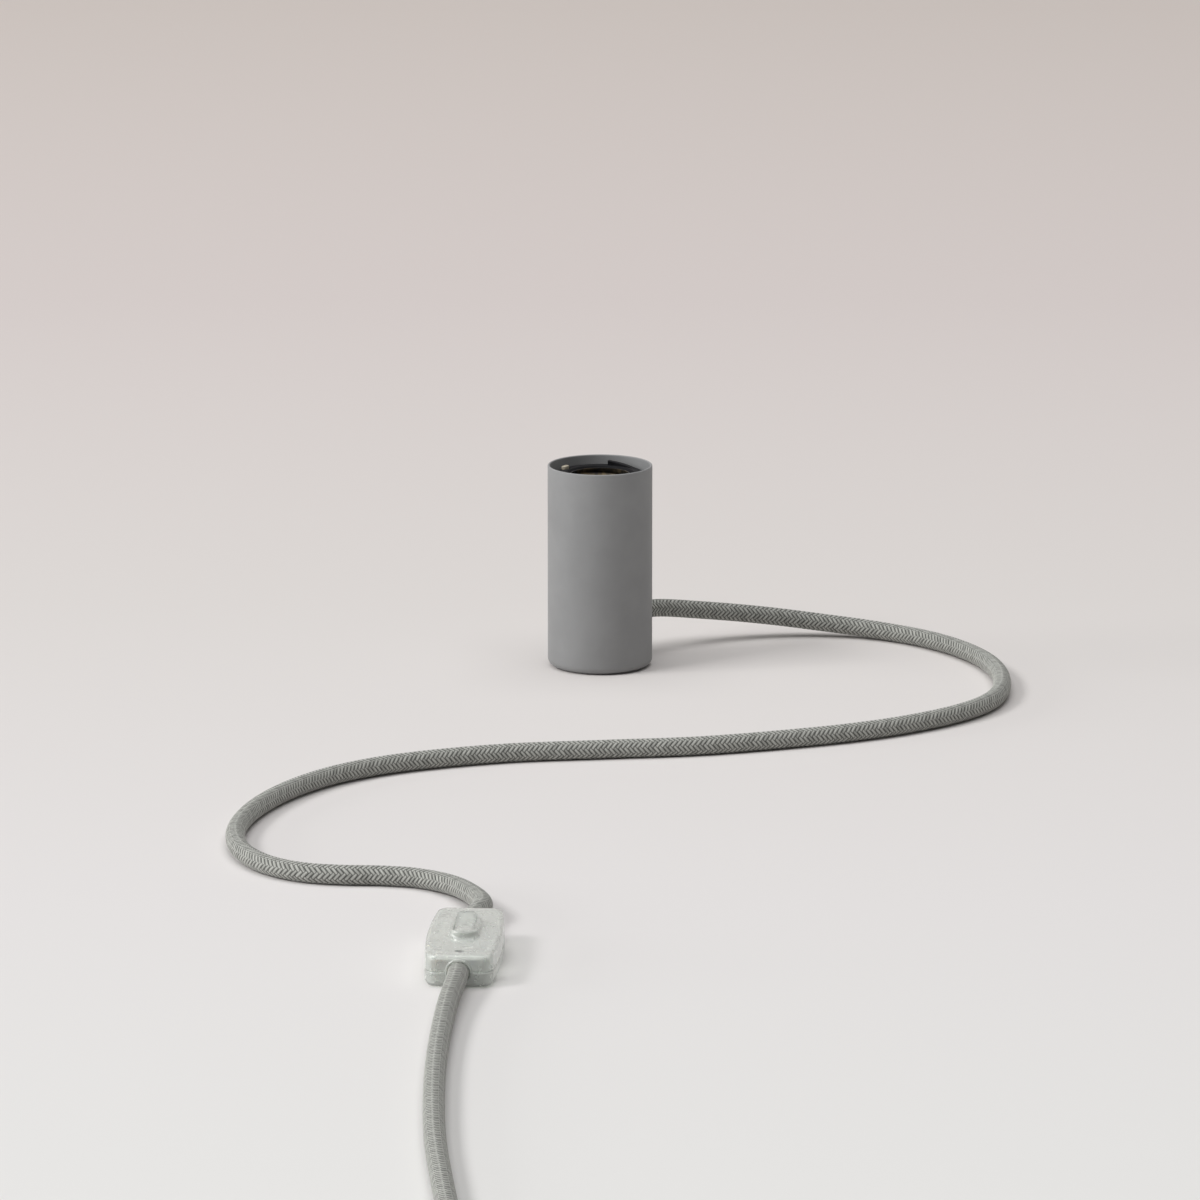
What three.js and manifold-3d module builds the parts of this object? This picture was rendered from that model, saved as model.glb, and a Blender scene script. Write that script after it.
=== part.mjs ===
import * as THREE from 'three';
import { mergeVertices } from 'three/addons/utils/BufferGeometryUtils.js';
import Module from 'manifold-3d';

// Plug-in lamp cord: a standing lamp holder in a metal cup, its textile cord, an
// inline rocker switch and a flat two-pin plug. Millimetres, +Z up. The origin is
// the middle of the foot on the table, and the cord leaves toward +X and -Y.

// Clearances
const fitGap = 0.3;

// Metal cup and its foot
const cupDiameter = 46;
const cupHeight = 90;
const cupWall = 1;
const cupFloor = 1.5;
const cupCornerRadius = 3.3;
const padDiameter = 34;
const padThickness = 1.6;
const padStandProud = 0.3;

// Cord
const cordDiameter = 7.8;
const sheathDiameter = 6.2;
const coreDiameter = 2.4;
const coreApart = 1.4;
const exitAngle = 55;
const exitHeight = 19;

// Wall bush where the cord leaves the cup
const bushWall = 1;
const bushFlangeWidth = 2.2;
const bushFlangeThickness = 1.3;
const straightExit = 6;

// Bracket inside the cup
const stripWidth = 12;
const stripThickness = 1.5;
const bracketSpan = 27;
const bracketHeight = 26;
const tabLength = 8;
const bracketScrewRadius = 1.9;
const bracketScrewLength = 8.5;
const bracketHeadRadius = 3.4;
const bracketHeadHeight = 1.2;
const bracketNutAcross = 7;
const bracketNutHeight = 2.6;

// Cord anchor on the bracket
const anchorWidth = 19;
const anchorLength = 11;
const anchorScrewPitch = 13.6;
const anchorHoleDepth = 8;
const saddleHeight = 5;
const saddleLength = 8;
const saddleScrewBite = 6;
const innerCordEnd = 8;

// Lamp holder
const holderBaseDiameter = 34;
const holderBaseHeight = 22;
const holderEdge = 1;
const holderHoleDepth = 9;
const holderScrewLength = 8;
const holderScrewInset = 3.6;
const contactChamberDiameter = 23;
const contactChamberDepth = 4;
const skirtDiameter = 39;
const skirtBelowRim = 3.5;
const skirtOverlap = 8;
const skirtMouthDiameter = 30;
const skirtFootEdge = 0.6;
const skirtTopEdge = 0.8;
const skirtMouthTaper = 1.4;
const skirtSeatRelief = 3;
const threadMeanDiameter = 25.5;
const threadDepth = 1.1;
const threadPitch = 3.62;
const threadTurns = 5;
const threadRunOut = 1.2;
const threadWall = 0.5;
const threadBelowSkirt = 0.6;
const rampHeight = 2;
const rampWidth = 2.2;
const rampInset = 1;
const rampStart = 78;
const rampSweep = 48;
const keyAngle = 151;
const keyWidth = 4.2;
const keyDepth = 2.3;
const keyCorner = 0.9;
const keyEdge = 0.5;
const keyOutward = 0.2;
const keyBelow = 1.3;
const keyRise = 1.3;
const contactWidth = 7;
const contactThickness = 0.6;
const contactRise = 8.2;
const terminalWidth = 5.4;
const terminalDepth = 6.4;
const terminalHeight = 7.4;
const terminalOffset = 9.4;
const terminalScrewLength = 2.2;
const terminalRaise = 1.4;
const smallScrewRadius = 1.2;
const smallHeadRadius = 2.2;
const smallHeadHeight = 1.4;

// Inline switch
const switchX = -51.3;
const switchY = -502.8;
const switchTurn = -3;
const switchLength = 72.5;
const switchEndWidth = 26;
const switchMiddleWidth = 29;
const switchHeight = 12.5;
const switchParting = 6.2;
const switchWall = 1.4;
const switchCornerRadius = 5;
const barrelPoints = 7;
const cornerSteps = 3;
const switchTopRound = 1.1;
const switchBottomRound = 2.6;
const entryDepth = 2;
const straightEntry = 10;
const frameWidth = 11;
const frameLength = 29;
const frameCorner = 2.4;
const frameEdge = 0.5;
const frameRise = 2.5;
const frameDrop = 3.1;
const frameWall = 1.5;
const frameFootSpread = 0.9;
const frameFootRise = 0.5;
const windowCorner = 0.8;
const rockerOffset = 3.5;
const rockerRadius = 12.6;
const rockerThickness = 7.4;
const rockerTilt = 6;
const rockerBelow = 2.2;
const rockerAbove = 6.3;
const rockerDish = 1;
const pivotBelowTop = 2.9;
const pivotPinRadius = 0.8;
const pinShort = 0.2;
const noseRadius = 1.2;
const leverLength = 19.6;
const leverWidth = 4;
const leverThickness = 0.8;
const leverTilt = 3;
const leverHeight = 4.2;
const stripHeight = 0.8;
const stripBreadth = 4;
const stripRunOn = 1;
const contactPostRadius = 1.2;
const contactPostPlay = 0.2;
const pivotPostHalf = 0.5;
const blockWidth = 5.4;
const blockLength = 8;
const blockHeight = 6;
const blockX = -9.6;
const blockY = 12;
const blockScrewLength = 2.6;
const wireWayHeight = 3;
const braidInside = 4;
const sheathInside = 12.5;
const clampFromEnd = 7.4;
const clampLength = 6;
const clampPlate = 0.8;
const clampDrop = 2.4;
const cradleWall = 1.4;
const clampScrewRadius = 1.5;
const clampScrewBelow = 0.3;
const clampSlotDepth = 0.6;
const screwSlotWidth = 0.6;
const shellScrewX = 8.6;
const shellScrewY = 24.5;
const shellBossRadius = 3;
const shellScrewLength = 8.5;
const bossRoot = 0.4;

// Coil, tie and plug
const coilX = 4.2;
const coilY = -920;
const coilMeanDiameters = 10;
const coilPlay = 0.2;
const coilHeight = 15.4;
const coilEntryAngle = 190;
const coilLeaveAngle = 285;
const tieAngle = 225;
const tieWidth = 12;
const tieThickness = 1;
const tieCorner = 3;
const plugX = 92;
const plugY = -946;
const plugAxisHeight = 6.85;
const plugLength = 36;
const plugTaperLength = 16.2;
const plugWidth = 35.3;
const plugTailWidth = 15;
const plugThickness = 13.7;
const plugEdge = 1.6;
const plugCorner = 3;
const plugPinRadius = 2;
const plugPinLength = 19;
const plugPinTipTaper = 1.4;
const plugPinTipEdge = 1;
const plugPinRoot = 7.4;
const plugPinSpacing = 18.6;
const plugSleeveLength = 10;
const plugSleeveRoot = 3;
const plugSleeveWall = 0.35;
const reliefLength = 28;
const reliefStartRadius = 4.7;
const reliefEndRadius = 6;
const reliefRibs = 5;
const reliefGroove = 0.7;

const degree = Math.PI / 180;
const cordRadius = cordDiameter / 2;
const cordRest = cordRadius + 0.1;
const wasm = await Module();
wasm.setup();

// Turns a closed geometry inside out where its faces point inward.
function faceOut(geometry) {
  const flat = geometry.index ? geometry.toNonIndexed() : geometry;
  const place = flat.getAttribute('position');
  const a = new THREE.Vector3();
  const b = new THREE.Vector3();
  const c = new THREE.Vector3();
  let volume = 0;
  for (let i = 0; i < place.count; i += 3) {
    a.fromBufferAttribute(place, i);
    b.fromBufferAttribute(place, i + 1);
    c.fromBufferAttribute(place, i + 2);
    volume += a.dot(b.cross(c));
  }
  const outward = new THREE.BufferGeometry();
  const points = Float32Array.from(place.array);
  if (volume < 0) {
    for (let i = 0; i < points.length; i += 9) {
      for (let k = 0; k < 3; k += 1) {
        const kept = points[i + 3 + k];
        points[i + 3 + k] = points[i + 6 + k];
        points[i + 6 + k] = kept;
      }
    }
  }
  outward.setAttribute('position', new THREE.BufferAttribute(points, 3));
  return outward;
}

function toSolid(geometry) {
  const merged = mergeVertices(faceOut(geometry), 1e-4);
  const vertProperties = Float32Array.from(merged.getAttribute('position').array);
  const triVerts = Uint32Array.from(merged.index.array);
  return new wasm.Manifold(new wasm.Mesh({ numProp: 3, vertProperties, triVerts }));
}

function toGeometry(solid) {
  const mesh = solid.getMesh();
  const geometry = new THREE.BufferGeometry();
  geometry.setAttribute('position', new THREE.BufferAttribute(Float32Array.from(mesh.vertProperties), 3));
  geometry.setIndex(new THREE.BufferAttribute(Uint32Array.from(mesh.triVerts), 1));
  return geometry.toNonIndexed();
}

function join(first, ...others) {
  let solid = toSolid(first);
  for (const other of others) {
    solid = solid.add(toSolid(other));
  }
  return toGeometry(solid);
}

function cut(first, ...tools) {
  let solid = toSolid(first);
  for (const tool of tools) {
    solid = solid.subtract(toSolid(tool));
  }
  return toGeometry(solid);
}

function common(first, second) {
  return toGeometry(toSolid(first).intersect(toSolid(second)));
}

// A box from its lowest to its highest corner.
function block(low, high) {
  const size = high.map((value, axis) => value - low[axis]);
  const box = new THREE.BoxGeometry(...size);
  return box.translate(...low.map((value, axis) => value + size[axis] / 2));
}

// A round bar standing on a point, from height low to height high.
function bar(radius, low, high, x = 0, y = 0, sides = 20) {
  const round = new THREE.CylinderGeometry(radius, radius, high - low, sides);
  return round.rotateX(Math.PI / 2).translate(x, y, (low + high) / 2);
}

// A round bar along X or Y through a point.
function barAlongX(radius, low, high, y, z, sides = 20) {
  const round = new THREE.CylinderGeometry(radius, radius, high - low, sides);
  return round.rotateZ(Math.PI / 2).translate((low + high) / 2, y, z);
}

function barAlongY(radius, low, high, x, z, sides = 20) {
  return new THREE.CylinderGeometry(radius, radius, high - low, sides).translate(x, (low + high) / 2, z);
}

// A profile of radius and height turned about the Z axis.
function turn(profile, sides = 48) {
  const points = profile.map(([radius, height]) => new THREE.Vector2(radius, height));
  return new THREE.LatheGeometry(points, sides).rotateX(Math.PI / 2);
}

function closed(profile) {
  return [...profile, profile[0]];
}

// Points of a round corner in a profile, from one angle to another.
function arc(x, y, radius, from, to, steps) {
  return Array.from({ length: steps + 1 }, (_, i) => {
    const angle = (from + ((to - from) * i) / steps) * degree;
    return [x + radius * Math.cos(angle), y + radius * Math.sin(angle)];
  });
}

// An outline in X and Y made into a plate from height low to height high.
function plate(outline, low, high) {
  const shape = new THREE.Shape(outline.map(([x, y]) => new THREE.Vector2(x, y)));
  const flat = new THREE.ExtrudeGeometry(shape, { depth: high - low, bevelEnabled: false });
  return flat.translate(0, 0, low);
}

// A plate whose upper and lower edges are rounded.
function softPlate(outline, low, high, edge, steps = 2) {
  const shape = new THREE.Shape(outline.map(([x, y]) => new THREE.Vector2(x, y)));
  const soft = new THREE.ExtrudeGeometry(shape, {
    depth: high - low - 2 * edge,
    bevelEnabled: true,
    bevelThickness: edge,
    bevelSize: edge,
    bevelOffset: -edge,
    bevelSegments: steps,
  });
  return soft.translate(0, 0, low + edge);
}

// Turns a plate drawn in X and Y so that its outline stands in X and Z or in Y and Z.
function standAcrossY(geometry) {
  return geometry.rotateX(Math.PI / 2);
}

function standAcrossX(geometry) {
  return geometry.rotateX(Math.PI / 2).rotateZ(Math.PI / 2);
}

// The outline of a bent strip that follows a line of points at a constant thickness.
function stripOutline(line, thickness) {
  const left = [];
  const right = [];
  line.forEach(([x, y], i) => {
    const before = line[Math.max(i - 1, 0)];
    const after = line[Math.min(i + 1, line.length - 1)];
    const into = new THREE.Vector2(x - before[0], y - before[1]).normalize();
    const out = new THREE.Vector2(after[0] - x, after[1] - y).normalize();
    if (i === 0) {
      into.copy(out);
    }
    if (i === line.length - 1) {
      out.copy(into);
    }
    const along = into.clone().add(out).normalize();
    const reach = thickness / 2 / Math.max(along.dot(out), 0.5);
    left.push([x - along.y * reach, y + along.x * reach]);
    right.unshift([x + along.y * reach, y - along.x * reach]);
  });
  return [...left, ...right];
}

function roundedRectangle(width, length, radius, steps = 3) {
  const x = width / 2 - radius;
  const y = length / 2 - radius;
  return [
    ...arc(x, y, radius, 0, 90, steps),
    ...arc(-x, y, radius, 90, 180, steps),
    ...arc(-x, -y, radius, 180, 270, steps),
    ...arc(x, -y, radius, 270, 360, steps),
  ];
}

// Closed body through a row of rings with the same number of points each.
function loft(rings) {
  const count = rings[0].length;
  const points = [];
  const face = (...corners) => corners.forEach((corner) => points.push(...corner));
  for (let i = 0; i + 1 < rings.length; i += 1) {
    for (let k = 0; k < count; k += 1) {
      const next = (k + 1) % count;
      face(rings[i][k], rings[i][next], rings[i + 1][next]);
      face(rings[i][k], rings[i + 1][next], rings[i + 1][k]);
    }
  }
  const last = rings[rings.length - 1];
  for (let k = 1; k + 1 < count; k += 1) {
    face(rings[0][0], rings[0][k + 1], rings[0][k]);
    face(last[0], last[k], last[k + 1]);
  }
  const geometry = new THREE.BufferGeometry();
  geometry.setAttribute('position', new THREE.BufferAttribute(new Float32Array(points), 3));
  return geometry;
}

// A round cord or wire along a smooth curve through its points.
function cord(points, diameter, steps, sides) {
  const way = points.map((point) => new THREE.Vector3(...point));
  const curve = new THREE.CatmullRomCurve3(way, false, 'centripetal');
  const ring = Array.from({ length: sides }, (_, i) => {
    const angle = (2 * Math.PI * i) / sides;
    return new THREE.Vector2((diameter / 2) * Math.cos(angle), (diameter / 2) * Math.sin(angle));
  });
  return new THREE.ExtrudeGeometry(new THREE.Shape(ring), { steps, extrudePath: curve, bevelEnabled: false });
}

// A screw with a slotted pan head, standing head up with the head's seat at height 0.
function panScrew(radius, length, headRadius, headHeight) {
  const head = turn([[0, 0], [headRadius, 0], [headRadius, headHeight * 0.5], [headRadius * 0.7, headHeight],
    [0, headHeight]], 12);
  const shank = bar(radius, -length, headHeight * 0.4, 0, 0, 8);
  const slot = block([-headRadius - 1, -screwSlotWidth / 2, headHeight * 0.5],
    [headRadius + 1, screwSlotWidth / 2, headHeight + 1]);
  return cut(join(head, shank), slot);
}

function finish(color, roughness, metalness, opacity = 1) {
  const look = { color, roughness, metalness, opacity, transparent: opacity < 1 };
  return new THREE.MeshStandardMaterial(look);
}

const powderCoat = () => finish(0x97978f, 0.62, 0);
const blackPlastic = () => finish(0x131416, 0.35, 0);
const brass = () => finish(0xb08d4a, 0.35, 1);
const steel = () => finish(0xb9bcbe, 0.32, 1);
const textile = () => finish(0x77786f, 0.85, 0);
const clearPlastic = () => finish(0xc3c8c0, 0.25, 0, 0.5);

function add(group, name, geometry, material) {
  const mesh = new THREE.Mesh(faceOut(geometry), material);
  mesh.name = name;
  group.add(mesh);
  return mesh;
}

const lampCord = new THREE.Group();

// Heights inside the cup, from the table up
const padTop = padThickness;
const recessTop = padTop + fitGap;
const floorTop = recessTop + cupFloor;
const cupRadius = cupDiameter / 2;
const cupInside = cupRadius - cupWall;
const bracketBase = floorTop + fitGap;
const bracketTop = bracketBase + bracketHeight;
const holderBottom = bracketTop + fitGap;
const holderTop = holderBottom + holderBaseHeight;
const skirtTop = cupHeight - skirtBelowRim;

// The cup is one deep drawn piece. The bush hole is at its rear, low down.
function makeCup() {
  const inner = cupCornerRadius - cupWall;
  const rim = cupWall / 2;
  const recess = padDiameter / 2 + fitGap;
  const profile = [
    [0, recessTop],
    [recess, recessTop],
    [recess, padStandProud],
    ...arc(cupRadius - cupCornerRadius, padStandProud + cupCornerRadius, cupCornerRadius, -90, 0, 5),
    ...arc(cupRadius - rim, cupHeight - rim, rim, 0, 180, 4),
    ...arc(cupInside - inner, floorTop + inner, inner, 0, -90, 3),
    [0, floorTop],
  ];
  const hole = barAlongX(bushNeck + fitGap, cupInside - cupWall, cupRadius + cupWall, 0, exitHeight, 24);
  const screwHole = bar(bracketScrewRadius + fitGap, 0, floorTop + 1, 0, 0, 16);
  const cup = cut(turn(profile, 52), hole.rotateZ(exitAngle * degree), screwHole);
  add(lampCord, 'holder_cup', cup, powderCoat());
  const padHole = bracketHeadRadius + 2 * fitGap;
  const padEdge = padDiameter / 2;
  const pad = turn(closed([[padHole, 0], [padEdge, 0], [padEdge, padTop], [padHole, padTop]]), 28);
  add(lampCord, 'foot_pad', pad, finish(0x2b2b2a, 0.95, 0));
}

const bushNeck = cordRadius + fitGap + bushWall;
const bushFlange = bushNeck + bushFlangeWidth;
const bushFace = cupRadius + fitGap + bushFlangeThickness;

// The bush lines the hole, with one flange outside the wall and one inside it.
function makeBush() {
  const outerFlange = cut(barAlongX(bushFlange, cupInside, bushFace, 0, exitHeight, 24),
    bar(cupRadius + fitGap, 0, cupHeight, 0, 0, 60));
  const innerEnd = cupInside - fitGap - bushFlangeThickness;
  const innerFlange = common(barAlongX(bushFlange, innerEnd, cupRadius, 0, exitHeight, 24),
    bar(cupInside - fitGap, 0, cupHeight, 0, 0, 60));
  const neck = barAlongX(bushNeck, innerEnd, bushFace, 0, exitHeight, 24);
  const bore = barAlongX(cordRadius + fitGap, 0, bushFace + 1, 0, exitHeight, 24);
  add(cordSide, 'cord_bush', cut(join(outerFlange, neck, innerFlange), bore), blackPlastic());
}

// Everything low inside the cup is lined up with the cord's way in, along +X here.
const cordSide = new THREE.Group();
cordSide.rotation.z = exitAngle * degree;
lampCord.add(cordSide);

const stripTop = bracketBase + stripThickness;
const anchorBottom = stripTop + fitGap;
const anchorTop = exitHeight - fitGap;
const nutTop = anchorBottom + bracketNutHeight;
const screwSeat = recessTop - fitGap;

// A bent steel strip carries the lamp holder on its two tabs.
function makeBracket() {
  const half = bracketSpan / 2 - stripThickness / 2;
  const low = bracketBase + stripThickness / 2;
  const high = bracketTop - stripThickness / 2;
  const line = [[-half + tabLength, high], [-half, high], [-half, low], [half, low], [half, high],
    [half - tabLength, high]];
  const strip = plate(stripOutline(line, stripThickness), -stripWidth / 2, stripWidth / 2);
  const holes = [bar(bracketScrewRadius + fitGap, 0, anchorBottom, 0, 0, 16)];
  for (const side of [-1, 1]) {
    const y = side * holderScrewY;
    holes.push(bar(smallScrewRadius + fitGap, bracketTop - stripThickness - 1, bracketTop + 1, 0, y, 16));
  }
  add(cordSide, 'holder_bracket', cut(standAcrossX(strip), ...holes), steel());
  const screw = panScrew(bracketScrewRadius, bracketScrewLength, bracketHeadRadius, bracketHeadHeight);
  add(cordSide, 'bracket_screw', screw.rotateX(Math.PI).translate(0, 0, screwSeat), steel());
}

const holderScrewY = bracketSpan / 2 - stripThickness - holderScrewInset;

// The anchor carries the cord in a groove and the saddle clamps it from above.
function makeAnchor() {
  const halfWidth = anchorWidth / 2;
  const halfLength = anchorLength / 2;
  const nutRadius = bracketNutAcross / Math.sqrt(3);
  const groove = barAlongX(cordRadius + fitGap, -anchorLength, anchorLength, 0, exitHeight, 20);
  const body = block([-halfLength, -halfWidth, anchorBottom], [halfLength, halfWidth, anchorTop]);
  const nutRoom = bar(nutRadius + fitGap, anchorBottom - 1, nutTop + 3 * fitGap, 0, 0, 6);
  const holes = [bar(bracketScrewRadius + fitGap, nutTop, screwSeat + bracketScrewLength + fitGap, 0, 0, 16)];
  for (const side of [-1, 1]) {
    const y = (side * anchorScrewPitch) / 2;
    holes.push(bar(smallScrewRadius + fitGap, anchorTop - anchorHoleDepth, anchorTop + 1, 0, y, 12));
  }
  add(cordSide, 'cord_anchor', cut(body, groove, nutRoom, ...holes), blackPlastic());
  const nut = cut(bar(nutRadius, anchorBottom + fitGap, nutTop + fitGap, 0, 0, 6),
    bar(bracketScrewRadius + fitGap, 0, nutTop + 1, 0, 0, 16));
  add(cordSide, 'bracket_nut', nut, steel());
  const top = exitHeight + saddleHeight;
  const saddle = block([-saddleLength / 2, -halfWidth, exitHeight], [saddleLength / 2, halfWidth, top]);
  const through = [-1, 1].map((side) => bar(smallScrewRadius + fitGap, exitHeight - 1, top + 1, 0,
    (side * anchorScrewPitch) / 2, 12));
  const open = cut(saddle, groove, ...through);
  add(cordSide, 'cord_saddle', open, blackPlastic());
  for (const side of [-1, 1]) {
    const length = saddleHeight + saddleScrewBite;
    const screw = panScrew(smallScrewRadius, length, smallHeadRadius, smallHeadHeight);
    screw.translate(0, (side * anchorScrewPitch) / 2, top + fitGap);
    add(cordSide, side < 0 ? 'saddle_screw_left' : 'saddle_screw_right', screw, steel());
  }
}

// The stretch of cord through the bush and over the anchor, and its two cores.
function makeInnerCord() {
  const straight = barAlongX(cordRadius, -innerCordEnd, bushFace, 0, exitHeight, 12);
  add(cordSide, 'inner_cord', straight, textile());
  const start = -innerCordEnd - 2 * fitGap;
  const wireTop = holderBottom + terminalRaise - 2 * fitGap;
  const out = terminalOffset;
  const overSaddle = bracketTop - stripThickness - coreDiameter / 2;
  const lineWay = [[start, -coreApart, exitHeight], [start - 2, -coreApart, exitHeight],
    [start - 4, -1, exitHeight + 2.6], [start - 3, -0.4, exitHeight + 6.6],
    [-out, 0, wireTop - 2.4], [-out, 0, wireTop]];
  const neutralWay = [[start, coreApart, exitHeight], [start - 1.8, coreApart, exitHeight],
    [start - 3.4, 2.6, exitHeight + 2.4], [start - 1, 3, exitHeight + 6.6], [-4, 2.4, overSaddle],
    [4, 1.6, overSaddle], [out - 0.8, 0.2, overSaddle + 1], [out, 0, wireTop - 1.6], [out, 0, wireTop]];
  add(cordSide, 'line_core', cord(lineWay, coreDiameter, 8, 8), finish(0x6b4026, 0.5, 0));
  add(cordSide, 'neutral_core', cord(neutralWay, coreDiameter, 12, 8), finish(0x3a64a8, 0.5, 0));
}

// The holder's base is moulded, with two pockets below for the terminals.
function makeHolderBase() {
  const radius = holderBaseDiameter / 2;
  const chamberRadius = contactChamberDiameter / 2;
  const chamber = holderTop - contactChamberDepth;
  const body = turn([[0, holderBottom], [radius - holderEdge, holderBottom],
    [radius, holderBottom + holderEdge], [radius, holderTop], [chamberRadius, holderTop],
    [chamberRadius, chamber], [0, chamber]], 36);
  const cuts = [];
  const pocketTop = holderBottom + terminalRaise + terminalHeight + fitGap;
  for (const side of [-1, 1]) {
    const x = side * terminalOffset;
    cuts.push(block([x - terminalWidth / 2 - fitGap, -terminalDepth / 2 - fitGap, holderBottom - 1],
      [x + terminalWidth / 2 + fitGap, terminalDepth / 2 + fitGap, pocketTop]));
    cuts.push(barAlongX(smallHeadRadius + fitGap, side < 0 ? -radius - 1 : terminalOffset,
      side < 0 ? -terminalOffset : radius + 1, 0, holderBottom + terminalRaise + terminalHeight / 2, 14));
    cuts.push(bar(smallScrewRadius + fitGap, holderBottom - 1, holderBottom + holderHoleDepth, 0,
      side * holderScrewY, 12));
  }
  add(cordSide, 'holder_base', cut(body, ...cuts), blackPlastic());
}

// Each terminal is a brass block with a wire hole below and a screw from the side.
function makeTerminals() {
  for (const side of [-1, 1]) {
    const label = side < 0 ? 'line' : 'neutral';
    const x = side * terminalOffset;
    const low = holderBottom + terminalRaise;
    const middle = low + terminalHeight / 2;
    const body = block([x - terminalWidth / 2, -terminalDepth / 2, low],
      [x + terminalWidth / 2, terminalDepth / 2, low + terminalHeight]);
    const outerFace = terminalOffset + terminalWidth / 2;
    const screwWay = barAlongX(smallScrewRadius + fitGap, side < 0 ? -outerFace - 1 : terminalOffset,
      side < 0 ? -terminalOffset : outerFace + 1, 0, middle, 12);
    const wireWay = bar(coreDiameter / 3, low - 1, low + terminalHeight - 1, x, 0, 10);
    add(cordSide, `${label}_terminal`, cut(body, wireWay, screwWay), brass());
    const screw = panScrew(smallScrewRadius, terminalScrewLength, smallHeadRadius, smallHeadHeight);
    screw.rotateY((side * Math.PI) / 2).translate(side * (outerFace + fitGap), 0, middle);
    add(cordSide, `${label}_terminal_screw`, screw, brass());
    const holding = panScrew(smallScrewRadius, holderScrewLength, smallHeadRadius, smallHeadHeight);
    holding.rotateX(Math.PI).translate(0, side * holderScrewY, bracketTop - stripThickness - fitGap);
    add(cordSide, side < 0 ? 'holder_screw_left' : 'holder_screw_right', holding, steel());
  }
}

// The spring tongue that meets the foot of the bulb.
function makeCentreContact() {
  const low = holderTop - contactChamberDepth + fitGap + contactThickness / 2;
  const line = [[-9, low], [5, low], [7.6, low + 1.2], [7.4, low + 3], [2.6, low + contactRise - 0.6],
    [0, low + contactRise], [-2.6, low + contactRise - 0.6], [-4.4, low + contactRise - 2.4]];
  const tongue = plate(stripOutline(line, contactThickness), -contactWidth / 2, contactWidth / 2);
  add(cordSide, 'centre_contact', standAcrossY(tongue), brass());
}

// The bulb's shell is a rolled brass sleeve: one sheet with a round thread in it.
function makeThreadShell() {
  const around = 18;
  const low = holderTop + fitGap;
  const high = skirtTop - threadBelowSkirt;
  const threadHigh = high - threadRunOut;
  const threadLow = threadHigh - threadTurns * threadPitch;
  const perTurn = 4;
  const heights = [low, threadLow];
  for (let i = 1; i <= threadTurns * perTurn; i += 1) {
    heights.push(threadLow + (i * threadPitch) / perTurn);
  }
  heights.push(high);
  const mean = threadMeanDiameter / 2;
  const wave = (angle, height) => {
    const into = Math.min(height - threadLow, threadHigh - height) / threadPitch;
    const depth = (threadDepth / 2) * Math.min(Math.max(into * 2, 0), 1);
    return mean + depth * Math.cos((2 * Math.PI * height) / threadPitch - angle);
  };
  const ring = (height, extra) => Array.from({ length: around }, (_, i) => {
    const angle = (2 * Math.PI * i) / around;
    const radius = wave(angle, height) + extra;
    return [radius * Math.cos(angle), radius * Math.sin(angle), height];
  });
  const points = [];
  const face = (...corners) => corners.forEach((corner) => points.push(...corner));
  const join4 = (a, b) => {
    for (let k = 0; k < around; k += 1) {
      const next = (k + 1) % around;
      face(a[k], a[next], b[next]);
      face(a[k], b[next], b[k]);
    }
  };
  const outside = heights.map((height) => ring(height, threadWall));
  const inside = heights.map((height) => ring(height, 0)).reverse();
  const all = [...outside, ...inside, outside[0]];
  for (let i = 0; i + 1 < all.length; i += 1) {
    join4(all[i], all[i + 1]);
  }
  const geometry = new THREE.BufferGeometry();
  geometry.setAttribute('position', new THREE.BufferAttribute(new Float32Array(points), 3));
  add(lampCord, 'thread_shell', geometry, brass());
}

// The moulded skirt screws over the base. Its mouth has a raised ramp and a key.
function makeSkirt() {
  const radius = skirtDiameter / 2;
  const mouth = skirtMouthDiameter / 2;
  const sleeve = threadMeanDiameter / 2 + threadDepth / 2 + threadWall + fitGap;
  const low = holderTop - skirtOverlap;
  const baseBore = holderBaseDiameter / 2 + fitGap;
  const shoulder = holderTop + fitGap;
  const profile = [
    [baseBore, low],
    [radius - skirtFootEdge, low],
    [radius, low + skirtFootEdge],
    [radius, skirtTop - skirtTopEdge],
    [radius - skirtTopEdge, skirtTop],
    [mouth, skirtTop],
    [sleeve, skirtTop - skirtMouthTaper],
    [sleeve, shoulder + skirtSeatRelief],
    [sleeve + 0.1, shoulder],
    [baseBore, shoulder],
  ];
  const rampSteps = 8;
  const rings = Array.from({ length: rampSteps + 1 }, (_, i) => {
    const share = i / rampSteps;
    const angle = (rampStart - rampSweep * share) * degree;
    const top = skirtTop + Math.max(rampHeight * (1 - share), 0.02);
    const outer = radius - rampInset;
    const inner = outer - rampWidth;
    return [[inner, skirtTop - 0.5], [outer, skirtTop - 0.5], [outer, top], [inner, top]]
      .map(([r, z]) => [r * Math.cos(angle), r * Math.sin(angle), z]);
  });
  const keyMiddle = (mouth + radius) / 2 + keyOutward;
  const roomWidth = keyWidth / 2 + fitGap;
  const roomDepth = keyDepth / 2 + fitGap;
  const keyRoom = block([keyMiddle - roomDepth, -roomWidth, skirtTop - keyBelow - fitGap],
    [keyMiddle + roomDepth, roomWidth, skirtTop + 1]);
  const skirt = cut(join(turn(closed(profile), 40), loft(rings)), keyRoom.rotateZ(keyAngle * degree));
  add(lampCord, 'holder_skirt', skirt, blackPlastic());
  const keyOutline = roundedRectangle(keyDepth, keyWidth, keyCorner, 2);
  const key = softPlate(keyOutline, skirtTop - keyBelow, skirtTop + keyRise, keyEdge, 1);
  key.translate(keyMiddle, 0, 0).rotateZ(keyAngle * degree);
  add(lampCord, 'locking_key', key, finish(0xd8cfae, 0.5, 0));
}

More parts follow.
